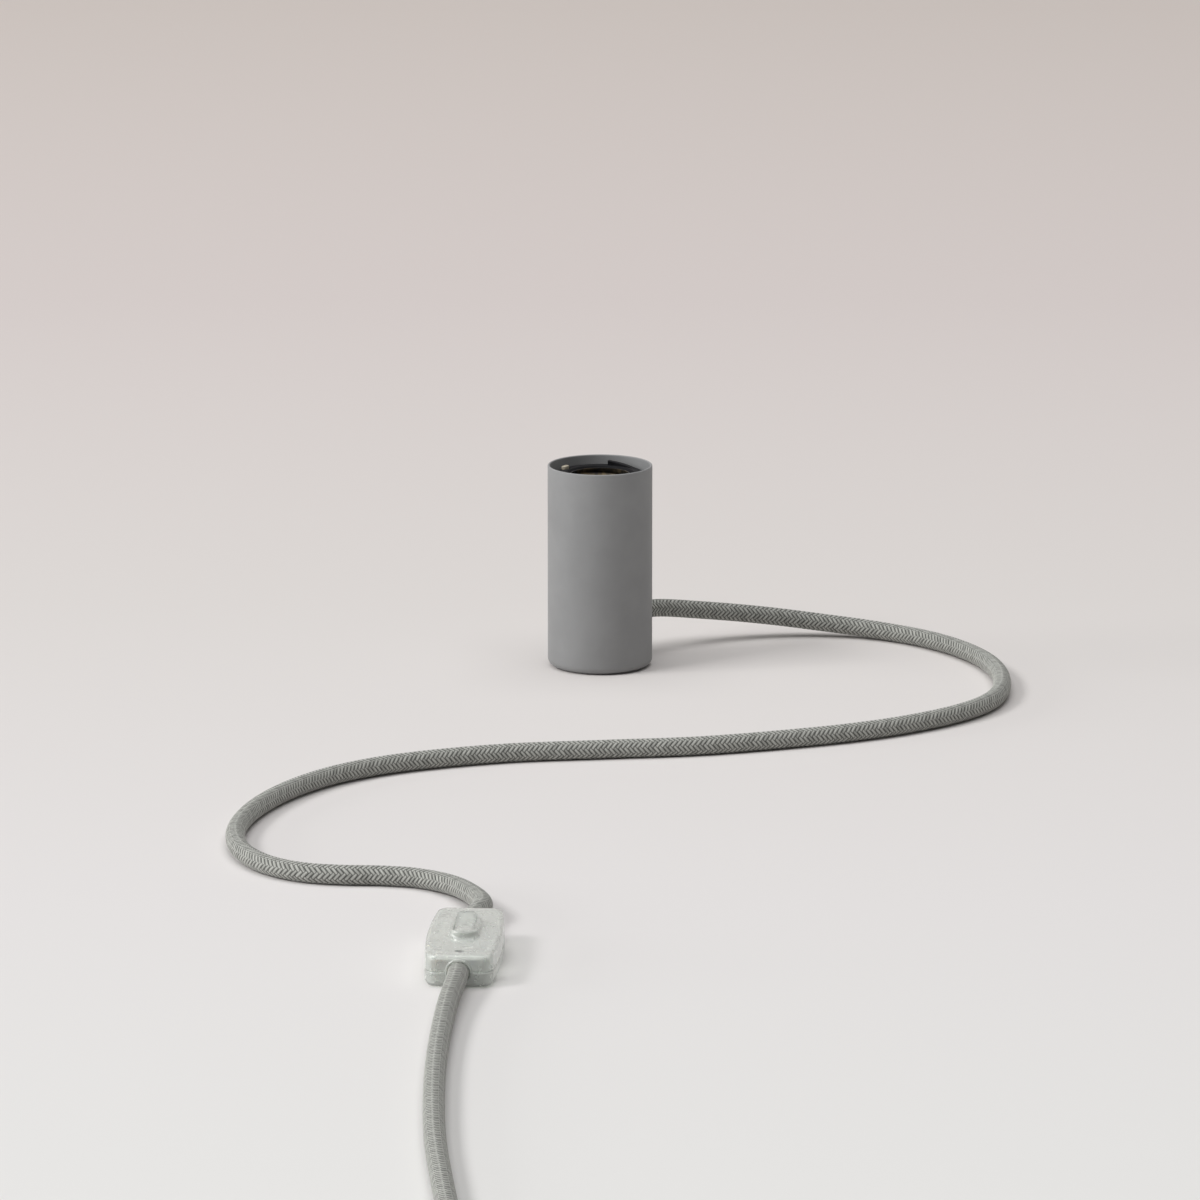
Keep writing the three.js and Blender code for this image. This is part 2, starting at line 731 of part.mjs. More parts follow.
// The way of the cord over the table, from the bush to the switch.
const exitPoint = [Math.cos(exitAngle * degree), Math.sin(exitAngle * degree)];
const alongExit = (reach) => [exitPoint[0] * reach, exitPoint[1] * reach, exitHeight];
const switchAxis = [-Math.sin(switchTurn * degree), Math.cos(switchTurn * degree)];
const alongSwitch = (reach) => [
  switchX + switchAxis[0] * reach,
  switchY + switchAxis[1] * reach,
  switchParting,
];

const lampSideRoute = [
  alongExit(bushFace + fitGap),
  alongExit(bushFace + straightExit),
  [26.5, 34.8, 17.8],
  [44.8, 45.6, 14.4],
  [62.6, 51.9, 11.6],
  [80.6, 55.6, 8.9],
  [99, 56, 6.4],
  [117, 52.2, 4.8],
  [134, 43.2, cordRest],
  [150.5, 26.8, cordRest],
  [163.8, 5, cordRest],
  [172.3, -20, cordRest],
  [175, -50, cordRest],
  [171.2, -78, cordRest],
  [163, -97, cordRest],
  [149, -114.5, cordRest],
  [128, -132, cordRest],
  [106, -145, cordRest],
  [84, -154.6, cordRest],
  [42, -168.6, cordRest],
  [-0.5, -175.2, cordRest],
  [-42, -182.3, cordRest],
  [-84, -199.4, cordRest],
  [-107, -217, cordRest],
  [-123.5, -238.5, cordRest],
  [-136, -264, cordRest],
  [-144, -292, cordRest],
  [-146.7, -320.8, cordRest],
  [-142.3, -348.5, cordRest],
  [-131.6, -369, cordRest],
  [-117.5, -380.4, cordRest],
  [-102, -384.6, cordRest],
  [-87, -385.6, cordRest],
  [-71.5, -389.8, cordRest],
  [-59, -401, 4.4],
  [-50.6, -418, 5.2],
  [-45.4, -440, switchParting],
  alongSwitch(switchLength / 2 + straightEntry),
  alongSwitch(switchLength / 2 + fitGap),
];

// From the switch to the coil, which it meets along its outer turn.
const coilMiddle = (coilMeanDiameters * cordDiameter) / 2;
const coilOuterTurn = coilMiddle + cordRadius;
const coilOutside = coilMiddle + cordDiameter + coilPlay;
const coilInside = coilMiddle - cordDiameter - coilPlay;
const aroundCoil = (radius, angle) => [
  coilX + radius * Math.cos(angle * degree),
  coilY + radius * Math.sin(angle * degree),
];
const beforeCoil = (reach) => {
  const [x, y] = aroundCoil(coilOuterTurn, coilEntryAngle);
  const heading = (coilEntryAngle + 90) * degree;
  return [x - reach * Math.cos(heading), y - reach * Math.sin(heading), cordRest];
};
const joinReach = Math.sqrt((coilOutside + 2 * fitGap) ** 2 - (coilOuterTurn - cordRadius) ** 2);

const plugSideRoute = [
  alongSwitch(-switchLength / 2 - fitGap),
  alongSwitch(-switchLength / 2 - straightEntry),
  [-56.2, -574, 5],
  [-58.2, -612, 4.2],
  [-59.3, -656, cordRest],
  [-59.1, -703, cordRest],
  [-57.6, -753, cordRest],
  [-54.4, -801, cordRest],
  [-50.9, -843, cordRest],
  beforeCoil(joinReach + 22),
  beforeCoil(joinReach),
];

// From the top of the coil down to the plug.
const afterCoil = (reach, height) => {
  const [x, y] = aroundCoil(coilMiddle, coilLeaveAngle);
  const heading = (coilLeaveAngle + 90) * degree;
  return [x + reach * Math.cos(heading), y + reach * Math.sin(heading), height];
};
const leaveReach = Math.sqrt((coilOutside + 2 * fitGap) ** 2 - (coilMiddle - cordRadius) ** 2);
const plugTailRoute = [
  afterCoil(leaveReach, 10.4),
  afterCoil(leaveReach + 14, 8.4),
  [plugX - 12, plugY - 0.6, 6.9],
  [plugX - fitGap, plugY, plugAxisHeight],
];

function makeCords() {
  add(lampCord, 'lamp_side_cord', cord(lampSideRoute, cordDiameter, 48, 10), textile());
  add(lampCord, 'plug_side_cord', cord(plugSideRoute, cordDiameter, 20, 10), textile());
  add(lampCord, 'plug_tail_cord', cord(plugTailRoute, cordDiameter, 4, 10), textile());
}

// The stored length is one ring round all its turns, pressed in under the tie.
function makeCoil() {
  const edge = cordRadius;
  const profile = [
    ...arc(coilOutside - edge, edge, edge, -90, 0, 2),
    ...arc(coilOutside - edge, coilHeight - edge, edge, 0, 90, 2),
    ...arc(coilInside + edge, coilHeight - edge, edge, 90, 180, 2),
    ...arc(coilInside + edge, edge, edge, 180, 270, 2),
  ];
  const ring = turn(closed(profile), 28).translate(coilX, coilY, 0);
  const tieInside = coilInside - tieWidth ** 2 / coilInside / 4 - fitGap;
  const roomHalf = tieWidth / 2 + fitGap;
  const room = block([tieInside - 2, -roomHalf, -1], [coilOutside + 4, roomHalf, tieThickness + fitGap]);
  room.rotateZ(tieAngle * degree).translate(coilX, coilY, 0);
  add(lampCord, 'cord_coil', cut(ring, room), textile());
  const outside = coilOutside + fitGap + tieThickness;
  const inside = tieInside - tieThickness;
  const high = coilHeight + fitGap + tieThickness;
  const loop = (grow) => roundedRectangle(outside - inside - 2 * grow, high - 2 * grow, tieCorner - grow)
    .map(([x, y]) => [x + (outside + inside) / 2, y + high / 2]);
  const tieShape = new THREE.Shape(loop(0).map(([x, y]) => new THREE.Vector2(x, y)));
  tieShape.holes.push(new THREE.Path(loop(tieThickness).map(([x, y]) => new THREE.Vector2(x, y))));
  const band = new THREE.ExtrudeGeometry(tieShape, { depth: tieWidth, bevelEnabled: false });
  band.translate(0, 0, -tieWidth / 2).rotateX(Math.PI / 2);
  band.rotateZ(tieAngle * degree).translate(coilX, coilY, 0);
  add(lampCord, 'coil_tie', band, finish(0x1c1c1d, 0.8, 0));
}

const inlineSwitch = new THREE.Group();
inlineSwitch.position.set(switchX, switchY, 0);
inlineSwitch.rotation.z = switchTurn * degree;
lampCord.add(inlineSwitch);

const cavityLow = switchWall;
const cavityHigh = switchHeight - switchWall;
const pivotHeight = switchHeight - pivotBelowTop;
const endFace = switchLength / 2;
const sheathEnd = endFace - sheathInside;

// The barrel outline of the switch, drawn in by an inset on every side.
function barrel(inset) {
  const halfLength = switchLength / 2 - inset;
  const endHalf = switchEndWidth / 2 - inset;
  const middleHalf = switchMiddleWidth / 2 - inset;
  const corner = switchCornerRadius - inset;
  const side = (sign) => Array.from({ length: barrelPoints }, (_, i) => {
    const share = ((2 * i + 1) / barrelPoints - 1) * sign;
    return [sign * (middleHalf - (middleHalf - endHalf) * share * share), (halfLength - corner) * share];
  });
  return [
    ...arc(-(endHalf - corner), -(halfLength - corner), corner, 180, 270, cornerSteps),
    ...arc(endHalf - corner, -(halfLength - corner), corner, 270, 360, cornerSteps),
    ...side(1),
    ...arc(endHalf - corner, halfLength - corner, corner, 0, 90, cornerSteps),
    ...arc(-(endHalf - corner), halfLength - corner, corner, 90, 180, cornerSteps),
    ...side(-1),
  ];
}

// Both shells are clear mouldings that meet on the middle line of the cord.
function makeShells() {
  const reach = switchLength;
  const frameHigh = switchHeight + frameRise;
  const sleeveLow = switchHeight - switchWall - frameDrop;
  const room = plate(barrel(switchWall), cavityLow, cavityHigh);
  const entryLow = endFace - switchWall - entryDepth;
  const ends = [
    barAlongY(cordRadius + fitGap, -reach, -entryLow, 0, switchParting, 20),
    barAlongY(cordRadius + fitGap, entryLow, reach, 0, switchParting, 20),
  ];

  // The frame's outline, grown or drawn in on every side.
  const ring = (grow, corner, steps) =>
    roundedRectangle(frameWidth + 2 * grow, frameLength + 2 * grow, corner, steps);
  const topOuter = softPlate(barrel(0), -switchHeight, switchHeight, switchTopRound);
  const frameOuter = softPlate(ring(0, frameCorner), sleeveLow, frameHigh, frameEdge, 1);
  const foot = softPlate(ring(frameFootSpread, frameCorner + frameFootSpread), switchHeight - 1,
    switchHeight + frameFootRise, frameFootRise, 1);
  const window = plate(ring(-frameWall, windowCorner, 2), sleeveLow - 1, frameHigh + 1);
  for (const piece of [frameOuter, foot, window]) {
    piece.translate(0, rockerOffset, 0);
  }
  const upperHalf = block([-reach, -reach, switchParting + fitGap / 2], [reach, reach, reach]);
  const pinWay = barAlongX(pivotPinRadius + fitGap, -frameWidth, frameWidth, rockerOffset, pivotHeight, 14);
  const topCuts = [window, pinWay, ...ends];
  const topBosses = [];
  for (const side of [-1, 1]) {
    const x = side * shellScrewX;
    const y = -side * shellScrewY;
    topBosses.push(bar(shellBossRadius, switchParting + fitGap / 2, cavityHigh + bossRoot, x, y, 16));
    topCuts.push(bar(smallScrewRadius + fitGap, switchParting - 1, cavityHigh - 2 * bossRoot, x, y, 12));
    topCuts.push(bar(clampScrewRadius + fitGap, cavityHigh - 1, switchHeight + 1, 0, side * clampY, 14));
  }
  const topBody = join(cut(topOuter, room), foot, frameOuter, ...topBosses);
  add(inlineSwitch, 'switch_top_shell', cut(common(topBody, upperHalf), ...topCuts), clearPlastic());

  const bottomOuter = softPlate(barrel(0), 0, 2 * switchHeight, switchBottomRound);
  const lowerHalf = block([-reach, -reach, -1], [reach, reach, switchParting - fitGap / 2]);
  const posts = [];
  const bottomCuts = [...ends];
  for (const side of [-1, 1]) {
    const x = side * shellScrewX;
    const y = -side * shellScrewY;
    posts.push(bar(shellBossRadius, cavityLow - bossRoot, switchParting, x, y, 16));
    bottomCuts.push(bar(smallScrewRadius + fitGap, -1, reach, x, y, 12));
    bottomCuts.push(bar(smallHeadRadius + fitGap, -1, smallHeadHeight + 2 * fitGap, x, y, 14));
    const cradle = block([-cradleHalf, side * clampY - clampLength / 2, cavityLow - bossRoot],
      [cradleHalf, side * clampY + clampLength / 2, switchParting - 1]);
    posts.push(cut(cradle, barAlongY(sheathDiameter / 2 + fitGap, -reach, reach, 0, switchParting, 20)));
  }
  const bottomShell = cut(common(join(cut(bottomOuter, room), ...posts), lowerHalf), ...bottomCuts);
  add(inlineSwitch, 'switch_bottom_shell', bottomShell, clearPlastic());
}

const clampY = endFace - clampFromEnd;
const cradleHalf = sheathDiameter / 2 + fitGap + cradleWall;

// The rocker turns on a steel pin and its nose works the contact lever.
function makeRocker() {
  const topArc = [];
  const reach = Math.sqrt(rockerRadius ** 2 - rockerAbove ** 2);
  for (let i = 0; i <= 8; i += 1) {
    const y = reach * (1 - i / 4);
    topArc.push([y, rockerAbove - rockerDish * (1 - (y / reach) ** 2)]);
  }
  const low = Math.asin(rockerBelow / rockerRadius) / degree;
  const high = Math.asin(rockerAbove / rockerRadius) / degree;
  const rearEnd = arc(0, 0, rockerRadius, -low, high, 3);
  const frontEnd = arc(0, 0, rockerRadius, 180 - high, 180 + low, 3);
  const outline = [...rearEnd, ...topArc.slice(1, -1), ...frontEnd];
  const body = standAcrossX(plate(outline, -rockerThickness / 2, rockerThickness / 2));
  const noseLow = leverHeight + leverThickness + fitGap - pivotHeight;
  const nose = bar(noseRadius, noseLow, 0, 0, 0, 12);
  const bore = barAlongX(pivotPinRadius + fitGap, -rockerThickness, rockerThickness, 0, 0, 14);
  const rocker = cut(join(body, nose), bore);
  const mesh = add(inlineSwitch, 'switch_rocker', rocker, clearPlastic());
  mesh.position.set(0, rockerOffset, pivotHeight);
  mesh.rotation.x = rockerTilt * degree;
  const pinHalf = frameWidth / 2 - pinShort;
  const pin = barAlongX(pivotPinRadius, -pinHalf, pinHalf, rockerOffset, pivotHeight, 14);
  add(inlineSwitch, 'rocker_pin', pin, steel());
}

// A brass lever rocks on a post of the rear terminal and closes on the front one.
function makeContacts() {
  const low = cavityLow + fitGap;
  const top = low + blockHeight;
  const left = blockX - blockWidth / 2;
  const right = blockX + blockWidth / 2;
  const leverSide = leverWidth / 2;
  const leverEnd = leverLength / 2;
  const lever = block([-leverSide, -leverEnd, 0], [leverSide, leverEnd, leverThickness]);
  const mesh = add(inlineSwitch, 'contact_lever', lever, brass());
  mesh.position.set(0, rockerOffset, leverHeight);
  mesh.rotation.x = -leverTilt * degree;

  // The front post stops below the lever's end as it lies when the circuit is closed.
  const frontReach = leverEnd + stripRunOn - stripBreadth / 2;
  const frontPostHigh = leverHeight - frontReach * Math.sin(leverTilt * degree) - contactPostPlay;
  const frontStrip = rockerOffset - frontReach;
  const frontPost = bar(contactPostRadius, low, frontPostHigh, 0, frontStrip, 12);
  const rearPost = block([-leverSide, rockerOffset - pivotPostHalf, low],
    [leverSide, rockerOffset + pivotPostHalf, leverHeight - fitGap]);
  const ends = [['front', -blockY, frontStrip, frontPost], ['rear', blockY, rockerOffset, rearPost]];
  for (const [end, y, stripMiddle, post] of ends) {
    const stripLow = stripMiddle - stripBreadth / 2;
    const stripHigh = stripMiddle + stripBreadth / 2;
    const body = block([left, y - blockLength / 2, low], [right, y + blockLength / 2, top]);
    const arm = block([left, Math.min(y, stripLow), low], [right, Math.max(y, stripHigh), low + stripHeight]);
    const cross = block([left, stripLow, low], [leverSide, stripHigh, low + stripHeight]);
    const wireHeight = low + wireWayHeight;
    const wireWay = barAlongY(coreDiameter / 3, y - blockLength, y + blockLength, blockX, wireHeight, 8);
    const screwWay = bar(smallScrewRadius + fitGap, wireHeight, top + 1, blockX, y, 12);
    const piece = cut(join(body, arm, cross, post), wireWay, screwWay);
    add(inlineSwitch, `switch_terminal_${end}`, piece, brass());
    const screw = panScrew(smallScrewRadius, blockScrewLength, smallHeadRadius, smallHeadHeight);
    add(inlineSwitch, `switch_terminal_screw_${end}`, screw.translate(blockX, y, top + fitGap), steel());
  }
}

// At each end a plate and a grub screw press on the sheath in its cradle.
function makeClamps() {
  const sheathTop = switchParting + sheathDiameter / 2;
  for (const side of [-1, 1]) {
    const end = side < 0 ? 'front' : 'rear';
    const half = sheathDiameter / 2 + fitGap + clampPlate / 2;
    const high = sheathTop + fitGap + clampPlate / 2;
    const line = [[-half, high - clampDrop], [-half, high], [half, high], [half, high - clampDrop]];
    const channel = standAcrossY(plate(stripOutline(line, clampPlate), -clampLength / 2, clampLength / 2));
    add(inlineSwitch, `cord_clamp_${end}`, channel.translate(0, side * clampY, 0), steel());
    const seat = high + clampPlate / 2 + fitGap;
    const grubTop = switchHeight - clampScrewBelow;
    const slot = block([-clampScrewRadius - 1, -screwSlotWidth / 2, grubTop - clampSlotDepth],
      [clampScrewRadius + 1, screwSlotWidth / 2, switchHeight + 1]);
    const grub = cut(bar(clampScrewRadius, seat, grubTop, 0, 0, 14), slot);
    add(inlineSwitch, `clamp_screw_${end}`, grub.translate(0, side * clampY, 0), steel());
    const screw = panScrew(smallScrewRadius, shellScrewLength, smallHeadRadius, smallHeadHeight);
    screw.rotateX(Math.PI).translate(-side * shellScrewX, side * shellScrewY, smallHeadHeight + fitGap);
    add(inlineSwitch, `shell_screw_${end}`, screw, steel());
  }
}

// The braid stops just inside each end, and the sheath and the cores go on.
function makeSwitchCord() {
  for (const side of [-1, 1]) {
    const end = side < 0 ? 'front' : 'rear';
    const outer = [side * endFace, side * (endFace - braidInside)].sort((a, b) => a - b);
    const inner = [side * (endFace - braidInside / 2), side * sheathEnd].sort((a, b) => a - b);
    const piece = join(barAlongY(cordRadius, ...outer, 0, switchParting, 12),
      barAlongY(sheathDiameter / 2, ...inner, 0, switchParting, 12));
    add(inlineSwitch, `cord_end_${end}`, piece, textile());
    const start = side * (sheathEnd - 2 * fitGap);
    const blockEnd = side * (blockY + blockLength / 2 + 2 * fitGap);
    const wireHeight = cavityLow + fitGap + wireWayHeight;
    const line = [[-coreApart, start, switchParting], [-coreApart, start - side * 1.5, switchParting],
      [blockX + 4.4, blockEnd + side * 2.5, wireHeight + 0.6], [blockX, blockEnd + side * 1.6, wireHeight],
      [blockX, blockEnd, wireHeight]];
    add(inlineSwitch, `switch_line_core_${end}`, cord(line, coreDiameter, 8, 8), finish(0x6b4026, 0.5, 0));
  }
  const low = cavityLow + coreDiameter / 2 + fitGap;
  const start = sheathEnd - 2 * fitGap;
  const side = [[coreApart, start, switchParting], [coreApart, start - 1.6, switchParting],
    [4, start - 4.6, switchParting - 1], [7.4, blockY, low + 0.4]];
  const neutral = [...side, [8.2, 0, low], ...side.map(([x, y, z]) => [x, -y, z]).reverse()];
  add(inlineSwitch, 'switch_neutral_core', cord(neutral, coreDiameter, 14, 8), finish(0x3a64a8, 0.5, 0));
}

// The flat plug lies on its side of the coil, pins toward +X.
function makePlug() {
  const plug = new THREE.Group();
  plug.position.set(plugX, plugY, plugAxisHeight);
  lampCord.add(plug);
  const start = reliefLength + fitGap;
  const nose = start + plugLength;
  const shoulder = start + plugTaperLength;
  const tail = plugTailWidth / 2;
  const half = plugWidth / 2;
  const outline = [
    [start, -tail],
    [shoulder, -half],
    [nose - plugCorner, -half],
    [nose, plugCorner - half],
    [nose, half - plugCorner],
    [nose - plugCorner, half],
    [shoulder, half],
    [start, tail],
  ];
  const body = softPlate(outline, -plugThickness / 2, plugThickness / 2, plugEdge, 2);
  const pinWays = [-1, 1].map((side) => barAlongX(plugPinRadius + fitGap, nose - plugPinRoot - 2 * fitGap,
    nose + 1, (side * plugPinSpacing) / 2, 0, 14));
  add(plug, 'plug_body', cut(body, ...pinWays), blackPlastic());
  const bore = plugPinRadius - plugSleeveWall;
  const core = bore - fitGap;
  const bare = plugPinRoot + plugSleeveLength;
  const tip = plugPinRoot + plugPinLength;
  const sleeveLength = plugSleeveRoot + plugSleeveLength - fitGap;
  const pinLine = [[0, 0], [core, 0], [core, bare], [plugPinRadius, bare],
    [plugPinRadius, tip - plugPinTipTaper], [plugPinRadius - plugPinTipEdge, tip], [0, tip]];
  const sleeveLine = [[bore, 0], [plugPinRadius, 0], [plugPinRadius, sleeveLength], [bore, sleeveLength]];
  for (const side of [-1, 1]) {
    const label = side < 0 ? 'front' : 'rear';
    const y = (side * plugPinSpacing) / 2;
    const pin = turn(pinLine, 14).rotateY(Math.PI / 2);
    add(plug, `plug_pin_${label}`, pin.translate(nose - plugPinRoot, y, 0), steel());
    const sleeve = turn(closed(sleeveLine), 14).rotateY(Math.PI / 2);
    add(plug, `pin_sleeve_${label}`, sleeve.translate(nose - plugSleeveRoot, y, 0), blackPlastic());
  }
  const ribStep = reliefLength / (2 * reliefRibs);
  const relief = [[0, 0]];
  for (let i = 0; i < 2 * reliefRibs; i += 1) {
    const share = i / (2 * reliefRibs - 1);
    const radius = reliefStartRadius + (reliefEndRadius - reliefStartRadius) * share - (i % 2) * reliefGroove;
    relief.push([radius, i * ribStep], [radius, (i + 1) * ribStep]);
  }
  relief.push([0, reliefLength]);
  add(plug, 'plug_strain_relief', turn(relief, 12).rotateY(Math.PI / 2), blackPlastic());
}

makeCup();
makeBush();
makeBracket();
makeAnchor();
makeInnerCord();
makeHolderBase();
makeTerminals();
makeCentreContact();
makeThreadShell();
makeSkirt();
makeCords();
makeCoil();
makeShells();
makeRocker();
makeContacts();
makeClamps();
makeSwitchCord();
makePlug();

export default lampCord;
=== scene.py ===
import math

import bmesh
import bpy
from mathutils import Matrix, Vector


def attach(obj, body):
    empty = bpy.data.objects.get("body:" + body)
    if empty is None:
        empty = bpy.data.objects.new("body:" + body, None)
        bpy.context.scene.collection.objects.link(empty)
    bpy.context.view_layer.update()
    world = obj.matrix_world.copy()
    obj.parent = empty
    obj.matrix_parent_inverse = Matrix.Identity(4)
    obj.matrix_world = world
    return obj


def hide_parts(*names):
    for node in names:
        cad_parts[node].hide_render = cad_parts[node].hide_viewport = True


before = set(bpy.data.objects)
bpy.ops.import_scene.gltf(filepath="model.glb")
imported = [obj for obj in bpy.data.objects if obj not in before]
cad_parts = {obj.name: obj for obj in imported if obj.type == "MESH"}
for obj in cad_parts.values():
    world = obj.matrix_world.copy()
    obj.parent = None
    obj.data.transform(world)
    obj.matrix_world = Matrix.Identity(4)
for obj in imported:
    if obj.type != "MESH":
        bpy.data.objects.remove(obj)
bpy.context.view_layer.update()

scene = bpy.context.scene
scene.view_settings.view_transform = "Standard"


# The view and the table. The lamp is seen from the front and a little above, through a long
# lens. The table is one pale matt sheet without an edge, painted a touch warmer and darker toward
# the back, a painted shade for the light that falls off there. One soft box stands high and one
# low on the left, a large one hangs overhead.
CAMERA_PLACE = (0.0, -3.4389, 0.7971)
CAMERA_PITCH = 77.411
LENS = 239.9
SIDE_BOX_PLACE = Vector((-7.0, -3.1, 6.3))
SIDE_BOX_SIZE = (4.0, 2.6)
SIDE_BOX_POWER = 475.0
LOW_BOX_PLACE = Vector((-7.5, -0.8, 1.35))
LOW_BOX_SIZE = (2.6, 2.6)
LOW_BOX_POWER = 150.0
TOP_BOX_PLACE = Vector((0.0, -0.1, 4.2))
TOP_BOX_SIZE = (4.8, 4.8)
TOP_BOX_POWER = 125.0
ROOM_LIGHT = 0.17
ROOM_SHADE = (0.66, 0.63, 0.61)
TABLE_HALF = 9.0
TABLE_FRONT = -1.0
TABLE_BACK = 2.2
# Painted shade: the table's colour by depth, darker and warmer toward the back where the light falls off.
TABLE_PAINTED_SHADE = [
    (-0.81, (0.799, 0.791, 0.776)),
    (-0.41, (0.776, 0.752, 0.745)),
    (0.13, (0.726, 0.691, 0.671)),
    (0.89, (0.700, 0.638, 0.620)),
    (2.03, (0.725, 0.656, 0.617)),
]


def placed(name, data):
    """A new object in the scene."""
    thing = bpy.data.objects.new(name, data)
    scene.collection.objects.link(thing)
    return thing


camera_data = bpy.data.cameras.new("camera")
camera_data.lens = LENS
camera_data.sensor_width = 36.0
camera = placed("camera", camera_data)
camera.location = CAMERA_PLACE
camera.rotation_euler = (math.radians(CAMERA_PITCH), 0.0, 0.0)
bpy.context.scene.camera = camera


def soft_box(name, place, size, power):
    """A flat lamp of a width and a height that looks at the middle of the table."""
    lamp_data = bpy.data.lights.new(name, "AREA")
    lamp_data.shape = "RECTANGLE"
    lamp_data.size, lamp_data.size_y = size
    lamp_data.energy = power
    lamp = placed(name, lamp_data)
    lamp.location = place
    lamp.rotation_euler = (-place).to_track_quat("-Z", "Y").to_euler()


soft_box("side_box", SIDE_BOX_PLACE, SIDE_BOX_SIZE, SIDE_BOX_POWER)
soft_box("low_box", LOW_BOX_PLACE, LOW_BOX_SIZE, LOW_BOX_POWER)
soft_box("top_box", TOP_BOX_PLACE, TOP_BOX_SIZE, TOP_BOX_POWER)

world = bpy.data.worlds.new("room")
world.use_nodes = True
scene.world = world
room = world.node_tree
room.nodes.clear()
plain_light = room.nodes.new("ShaderNodeBackground")
plain_light.inputs["Strength"].default_value = ROOM_LIGHT
seen_room = room.nodes.new("ShaderNodeBackground")
seen_room.inputs["Color"].default_value = (*ROOM_SHADE, 1.0)
seen_by = room.nodes.new("ShaderNodeLightPath")
seen = seen_by.outputs["Is Camera Ray"]
for ray in ("Is Glossy Ray", "Is Transmission Ray"):
    either = room.nodes.new("ShaderNodeMath")
    either.operation = "MAXIMUM"
    room.links.new(seen, either.inputs[0])
    room.links.new(seen_by.outputs[ray], either.inputs[1])
    seen = either.outputs[0]
room_mix = room.nodes.new("ShaderNodeMixShader")
room.links.new(seen, room_mix.inputs[0])
room.links.new(plain_light.outputs[0], room_mix.inputs[1])
room.links.new(seen_room.outputs[0], room_mix.inputs[2])
room_out = room.nodes.new("ShaderNodeOutputWorld")
room.links.new(room_mix.outputs[0], room_out.inputs[0])


def new_finish(name, roughness, metallic=0.0):
    """A material with its node tree and its shader."""
    finish = bpy.data.materials.new(name)
    finish.use_nodes = True
    shader = finish.node_tree.nodes["Principled BSDF"]
    shader.inputs["Roughness"].default_value = roughness
    shader.inputs["Metallic"].default_value = metallic
    return finish, finish.node_tree, shader


def grain(tree, scale, detail=2.0, stretch=(1.0, 1.0, 1.0)):
    """Noise that keeps its place on the piece, scale in grains per metre."""
    place = tree.nodes.new("ShaderNodeTexCoord")
    mapping = tree.nodes.new("ShaderNodeMapping")
    mapping.inputs["Scale"].default_value = stretch
    noise = tree.nodes.new("ShaderNodeTexNoise")
    noise.inputs["Scale"].default_value = scale
    noise.inputs["Detail"].default_value = detail
    tree.links.new(place.outputs["Object"], mapping.inputs["Vector"])
    tree.links.new(mapping.outputs["Vector"], noise.inputs["Vector"])
    return noise.outputs["Fac"]


def shades(tree, shader, factor, stops):
    """Colours spread over a factor from 0 to 1."""
    ramp = tree.nodes.new("ShaderNodeValToRGB")
    while len(ramp.color_ramp.elements) < len(stops):
        ramp.color_ramp.elements.new(0.5)
    for element, (position, colour) in zip(ramp.color_ramp.elements, stops):
        element.position = position
        element.color = (*colour, 1.0)
    tree.links.new(factor, ramp.inputs["Fac"])
    tree.links.new(ramp.outputs["Color"], shader.inputs["Base Color"])


def spread(tree, factor, low, high, socket):
    """A factor brought between two values and led to a socket."""
    reach = tree.nodes.new("ShaderNodeMapRange")
    reach.inputs["To Min"].default_value = low
    reach.inputs["To Max"].default_value = high
    tree.links.new(factor, reach.inputs["Value"])
    tree.links.new(reach.outputs["Result"], socket)


def relief(tree, shader, height, distance, strength=1.0):
    """Fine surface relief, its depth in metres."""
    bump = tree.nodes.new("ShaderNodeBump")
    bump.inputs["Distance"].default_value = distance
    bump.inputs["Strength"].default_value = strength
    tree.links.new(height, bump.inputs["Height"])
    tree.links.new(bump.outputs["Normal"], shader.inputs["Normal"])


table_finish, tree, shader = new_finish("table_sheet", 0.9)
table_place = tree.nodes.new("ShaderNodeTexCoord")
table_split = tree.nodes.new("ShaderNodeSeparateXYZ")
table_depth = tree.nodes.new("ShaderNodeMapRange")
table_depth.inputs["From Min"].default_value = TABLE_FRONT
table_depth.inputs["From Max"].default_value = TABLE_BACK
tree.links.new(table_place.outputs["Object"], table_split.inputs[0])
tree.links.new(table_split.outputs["Y"], table_depth.inputs["Value"])
shades(tree, shader, table_depth.outputs["Result"],
       [((y - TABLE_FRONT) / (TABLE_BACK - TABLE_FRONT), colour) for y, colour in TABLE_PAINTED_SHADE])
shader.inputs["Specular IOR Level"].default_value = 0.1

table_mesh = bpy.data.meshes.new("table")
table_corners = [(x * TABLE_HALF, y * TABLE_HALF, 0.0) for x, y in ((-1, -1), (1, -1), (1, 1), (-1, 1))]
table_mesh.from_pydata(table_corners, [], [(0, 1, 2, 3)])
table_mesh.materials.append(table_finish)
placed("table", table_mesh)


# The mains cord: two cores in a round sheath under a braid of grey green yarn, 7.8 mm thick.
# It leaves the cup low at the back, lies in one long loose curve on the table, and runs on
# from the switch to a coil of its spare length and the plug.
CORD = 0.0078
CORD_RADIUS = CORD / 2
CORD_REST = 0.004
BRAID_COLUMNS = 10
BRAID_PITCH = 0.0021
BRAID_DEPTH = 0.0003
BRAID_LEVEL = 0.7
BRAID_SIDES = 4 * BRAID_COLUMNS
